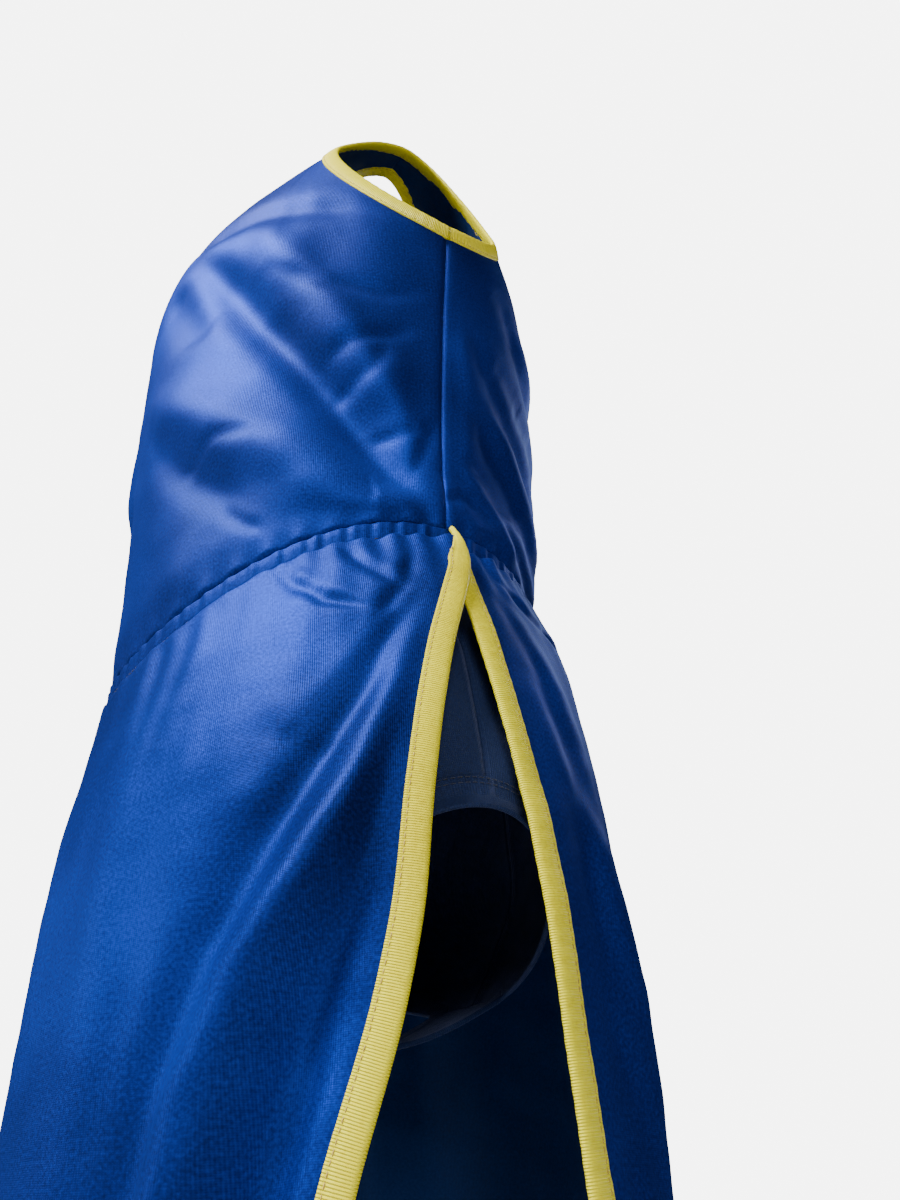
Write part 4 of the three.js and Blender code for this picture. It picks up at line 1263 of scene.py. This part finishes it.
legShape = roundedSection(shortsCut["legBand"], 0.0026, -0.0004)
for side, right in (("Left", False), ("Right", True)):
    frames = legFrames(right)
    band = sweepBand(f"shortsLegBand{side}", frames, legShape, True, navyKnit)
    rideDress(band)
    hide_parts(f"shorts_leg_band_{side.lower()}")
    for row, inside in (("Upper", 0.0122), ("Lower", 0.0098)):
        thread = stitchRow(f"shortsLeg{row}Stitches{side}", frames, inside, 0.00125,
                           stitch["seam"], navyThread, True)
        rideDress(thread)

bandAngle = np.linspace(0, 2 * math.pi, 300, endpoint=False)
bandSigned = ((bandAngle + math.pi) % (2 * math.pi)) - math.pi
bandLine = surface(shortsLevels, 0 * bandAngle, bandSigned)
bandOut = surfaceNormal(shortsLevels, 0 * bandAngle + 0.02, bandSigned)
bandOut[:, 2] = 0
bandUp = np.tile([0.0, 0.0, 1.0], (300, 1))
waistbandShape = roundedSection(shortsCut["bandHeight"] + 0.001, 0.0026, -0.001)
waistband = sweepBand("shortsWaistbandCloth", (bandLine, bandUp, unit(bandOut)),
                      waistbandShape, True, navyKnit, 0.0004 * np.sin(bandAngle * 61))
rideDress(waistband)
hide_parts("shorts_waistband")
print("shorts made")

# ---------- inside: seams, label, elastic ----------
inside = {"allowance": 0.009, "labelWidth": 0.024, "labelLength": 0.040}


def sideSeam(name, right, node):
    t = np.linspace(0.06, underarmT - 0.30, 130)
    angle = 0 * t
    points = surface(bodiceLevels, t, angle)
    normal = surfaceNormal(bodiceLevels, t, angle)
    sign = -1 if right else 1
    points = points * np.array([sign, 1, 1])
    normal = normal * np.array([sign, 1, 1])
    points = points - normal * 0.0026
    across = np.tile([0.0, 1.0, 0.0], (len(t), 1))
    wave = 0.0008 * np.sin(np.arange(len(t)) * 0.55)
    shape = [(0.0, 0.0008), (inside["allowance"], -0.0002), (inside["allowance"], -0.0010),
             (0.0, -0.0006)]
    strip = sweepBand(name, (points + normal * wave[:, None], across, normal), shape, False,
                      satinReverse)
    rideDress(strip)
    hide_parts(node)
    edge = stitchRow(name + "Overlock", (points + normal * wave[:, None], across, normal),
                     inside["allowance"] - 0.0012, -0.0013,
                     {"pitch": 0.0026, "length": 0.0020, "thread": 0.0005}, blueThread)
    rideDress(edge)


sideSeam("sideSeamLeftStrip", False, "side_seam_left")
sideSeam("sideSeamRightStrip", True, "side_seam_right")


def careLabel():
    low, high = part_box("care_label")
    z, y = np.meshgrid(np.linspace(high[2], low[2], 28), np.linspace(low[1], high[1], 18),
                       indexing="ij")
    f = (high[2] - z) / (high[2] - low[2])
    x = (low[0] + high[0]) / 2 - 0.0035 * np.sin(f * 2.2) + 0.0012 * np.sin(y * 190)
    points = np.stack([x, y, z], -1)
    obj = gridPiece("careLabelRibbon", points, 0 * z + math.pi, -z, [ribbon, ribbon])
    rideDress(obj)
    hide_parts("care_label")


careLabel()


def dressNode(node, material):
    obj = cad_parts[node]
    obj.data.materials.clear()
    obj.data.materials.append(material)


def elasticMaterial():
    material, nodes, links, shader = newMaterial("wovenElastic")
    place = addNode(nodes, "ShaderNodeTexCoord").outputs["Object"]
    weave = noiseNode(nodes, links, place, 700.0, 2.0, (1.0, 1.0, 3.0))
    color = rampNode(nodes, links, weave, [(0.35, (0.55, 0.55, 0.52)), (0.7, (0.8, 0.8, 0.77))])
    links.new(color, shader.inputs["Base Color"])
    bump = addNode(nodes, "ShaderNodeBump")
    bump.inputs["Strength"].default_value = 0.5
    bump.inputs["Distance"].default_value = 0.0003
    links.new(weave, bump.inputs["Height"])
    links.new(bump.outputs["Normal"], shader.inputs["Normal"])
    shader.inputs["Roughness"].default_value = 0.8
    return material


dressNode("waist_elastic", elasticMaterial())
print("inside pieces made")

# ---------- zip ----------
zipCut = {
    "coilPitch": 0.0015, "coilWire": 0.00055, "coilWide": 0.0022, "coilDeep": 0.0018,
    "coilTop": 0.011, "tapeWide": 0.013, "tapeInset": 0.0052, "tapeTop": 0.0034,
    "tapeUnderCloth": 0.0021,
}
zipEndT = levelOfDrop(bodiceLevels, -math.pi / 2, -zipTop[2] + zipLength)
zipEnd = surface(bodiceLevels, zipEndT, -math.pi / 2)
zipDown = Vector(zipEnd - zipTop).normalized()
zipOut = Vector((0, -zipDown.z, zipDown.y))
zipAcross = Vector((1, 0, 0))


def zipPoint(x, y, z):
    # the zip's own frame: x across, y away from the back, z up the zip
    return Vector(zipTop) + zipAcross * x + zipOut * y - zipDown * z


def coilTooth(side):
    # one turn of nylon coil: a bent wire with a round head at the middle of the zip
    wire = zipCut["coilWire"] / 2
    wide = zipCut["coilWide"]
    deep = zipCut["coilDeep"] / 2 - wire
    route = [(wide, deep), (wide * 0.35, deep), (0.0002, deep * 0.6), (0.0, 0.0),
             (0.0002, -deep * 0.6), (wide * 0.35, -deep), (wide, -deep)]
    verts, faces = [], []
    sides = 6
    for k, (x, y) in enumerate(route):
        before = Vector(route[max(k - 1, 0)])
        after = Vector(route[min(k + 1, len(route) - 1)])
        step = (after - before).normalized()
        across = Vector((-step.y, step.x))
        head = 1.25 if k == 3 else 1.0
        for i in range(sides):
            turn = 2 * math.pi * i / sides
            offset = across * (math.cos(turn) * wire * head)
            verts.append((side * (x + offset.x), y + offset.y, math.sin(turn) * wire * head))
    for k in range(len(route) - 1):
        for i in range(sides):
            j = (i + 1) % sides
            faces.append((k * sides + i, k * sides + j, (k + 1) * sides + j, (k + 1) * sides + i))
    faces.append(tuple(reversed(range(sides))))
    end = (len(route) - 1) * sides
    faces.append(tuple(range(end, end + sides)))
    return verts, faces


def coilRow(name, side, node):
    tooth, toothFaces = coilTooth(side)
    verts, faces = [], []
    length = zipLength - zipCut["coilTop"]
    count = int(length / zipCut["coilPitch"])
    for k in range(count):
        z = -zipCut["coilTop"] - (k + 0.5) * zipCut["coilPitch"]
        z -= zipCut["coilPitch"] / 2 if side < 0 else 0
        base = len(verts)
        for x, y, up in tooth:
            verts.append(zipPoint(x - side * 0.00025, y, z + up))
        faces += [tuple(base + i for i in face) for face in toothFaces]
    obj = makeMesh(name, verts, faces)
    obj.data.materials.append(zipNylon)
    fixNormals(obj)
    smoothShade(obj)
    rideDress(obj)
    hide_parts(node)


coilRow("zipCoilLeft", 1, "zip_coil_left")
coilRow("zipCoilRight", -1, "zip_coil_right")


def clothInside(half, across):
    # where the back's cloth lies beside the zip: its height, and how far back it is
    rows = half[0][:, ::-1]
    heights = [np.interp(across, np.abs(row[:, 0]), row[:, 2]) for row in rows]
    depths = [np.interp(across, np.abs(row[:, 0]), row[:, 1]) for row in rows]
    order = np.argsort(heights)
    return np.array(heights)[order], np.array(depths)[order]


def tapePiece(name, side, node):
    # a woven tape with a raised cord along the coil, sewn to the cloth at its outer edge
    z, x = np.meshgrid(np.linspace(zipCut["tapeTop"], -zipLength + 0.001, 92),
                       np.linspace(0, 1, 22), indexing="ij")
    # the tape's top corners are cut away under the neck binding
    z = z - 0.0080 * smoothStep((x - 0.3) / 0.4) * np.clip(1 + z / 0.03, 0, 1)
    wide = zipCut["tapeWide"]
    start = 0.0001 if side > 0 else -0.0006     # the right tape tucks under the left one
    y = -zipCut["tapeInset"] + 0.0002 * np.sin(z * 260) + 0.0006 * np.exp(-((x - 0.12) / 0.07) ** 2)
    if side < 0:
        y = y - 0.0009 * np.exp(-(x / 0.1) ** 2)
    heights, depths = clothInside(backLeft if side > 0 else backRight, wide)
    line = np.array([zipPoint(side * wide, 0, a) for a in z[:, 0]])
    outer = (np.interp(line[:, 2], heights, depths) - line[:, 1]) / zipOut.y
    outer = outer - zipCut["tapeUnderCloth"]
    y = mix(y, outer[:, None], smoothStep((x - 0.4) / 0.6))
    points = np.array([[zipPoint(side * (start + (wide - start) * b), c, a)
                        for a, b, c in zip(rowZ, rowX, rowY)]
                       for rowZ, rowX, rowY in zip(z, x, y)])
    angle = 0 * z - math.pi / 2
    obj = gridPiece(name, points, angle + x * 0.02, -z, [zipTape, zipTape])
    rideDress(obj)
    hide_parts(node)


tapePiece("zipTapeLeft", 1, "zip_tape_left")
tapePiece("zipTapeRight", -1, "zip_tape_right")
for node in ("zip_bottom_stop", "zip_slider", "zip_pull"):
    dressNode(node, zipMetal)
print("zip made")

# ---------- floor, light, camera ----------
stage = {"floor": -1.485, "size": 12.0, "fadeFrom": 1.3, "fadeTo": 4.2}


def floorMaterial():
    material, nodes, links, shader = newMaterial("paleFloor")
    place = addNode(nodes, "ShaderNodeTexCoord").outputs["Object"]
    grain = noiseNode(nodes, links, place, 3.0, 4.0)
    color = rampNode(nodes, links, grain, [(0.3, (0.80, 0.80, 0.80)), (0.7, (0.84, 0.84, 0.84))])
    links.new(color, shader.inputs["Base Color"])
    shader.inputs["Roughness"].default_value = 0.85
    # the floor fades into the backdrop away from the dress
    away = addNode(nodes, "ShaderNodeVectorMath", operation="LENGTH")
    links.new(place, away.inputs[0])
    fade = addNode(nodes, "ShaderNodeMapRange", interpolation_type="SMOOTHSTEP")
    fade.inputs["From Min"].default_value = stage["fadeFrom"]
    fade.inputs["From Max"].default_value = stage["fadeTo"]
    fade.inputs["To Min"].default_value = 1.0
    fade.inputs["To Max"].default_value = 0.0
    links.new(away.outputs["Value"], fade.inputs["Value"])
    links.new(fade.outputs["Result"], shader.inputs["Alpha"])
    return material


bpy.ops.mesh.primitive_plane_add(size=stage["size"], location=(0, 0, stage["floor"]))
floor = bpy.context.object
floor.name = "floor"
floor.data.materials.append(floorMaterial())


def areaLight(name, place, target, size, power):
    data = bpy.data.lights.new(name, "AREA")
    data.size = size
    data.energy = power
    lamp = bpy.data.objects.new(name, data)
    bpy.context.collection.objects.link(lamp)
    lamp.location = place
    aim = Vector(target) - Vector(place)
    lamp.rotation_euler = aim.to_track_quat("-Z", "Y").to_euler()
    return lamp


middle = (0, 0, -0.4)
lights = {
    # place, size across in metres, watts
    "keyLight": ((0.3, -1.7, 1.5), 1.0, 165),
    "frontLight": ((-0.9, -1.9, -0.3), 0.8, 9),
    "rimLight": ((-0.3, 1.9, 0.9), 1.0, 12),
    "sideLight": ((2.0, -0.8, 0.1), 0.7, 20),
}
for name, (place, size, power) in lights.items():
    areaLight(name, place, middle, size, power)

world = bpy.data.worlds.new("paleStudio")
bpy.context.scene.world = world
world.use_nodes = True
background = world.node_tree.nodes["Background"]
background.inputs["Strength"].default_value = 0.03
background.inputs["Color"].default_value = (0.90, 0.94, 1.0, 1)
backdrop = world.node_tree.nodes.new("ShaderNodeBackground")
backdrop.inputs["Color"].default_value = (0.96, 0.96, 0.96, 1)
backdrop.inputs["Strength"].default_value = 6.5
path = world.node_tree.nodes.new("ShaderNodeLightPath")
shown = world.node_tree.nodes.new("ShaderNodeMixShader")
world.node_tree.links.new(path.outputs["Is Camera Ray"], shown.inputs[0])
world.node_tree.links.new(background.outputs[0], shown.inputs[1])
world.node_tree.links.new(backdrop.outputs[0], shown.inputs[2])
world.node_tree.links.new(shown.outputs[0], world.node_tree.nodes["World Output"].inputs[0])

view = {"place": (0.445, -0.196, -0.705), "azimuth": 58.2, "pitch": 32.6, "roll": -2.1,
        "lens": 27.0}


def aimCamera():
    data = bpy.data.cameras.new("camera")
    data.lens = view["lens"]
    data.sensor_width = 36.0
    data.clip_start = 0.01
    camera = bpy.data.objects.new("camera", data)
    bpy.context.collection.objects.link(camera)
    yaw = math.radians(view["azimuth"])
    pitch = math.radians(view["pitch"])
    forward = Vector((-math.sin(yaw) * math.cos(pitch), math.cos(yaw) * math.cos(pitch),
                      math.sin(pitch)))
    camera.location = view["place"]
    turn = forward.to_track_quat("-Z", "Y").to_matrix().to_4x4()
    roll = Matrix.Rotation(math.radians(view["roll"]), 4, "Z")
    camera.matrix_world = Matrix.Translation(view["place"]) @ turn @ roll
    bpy.context.scene.camera = camera


aimCamera()
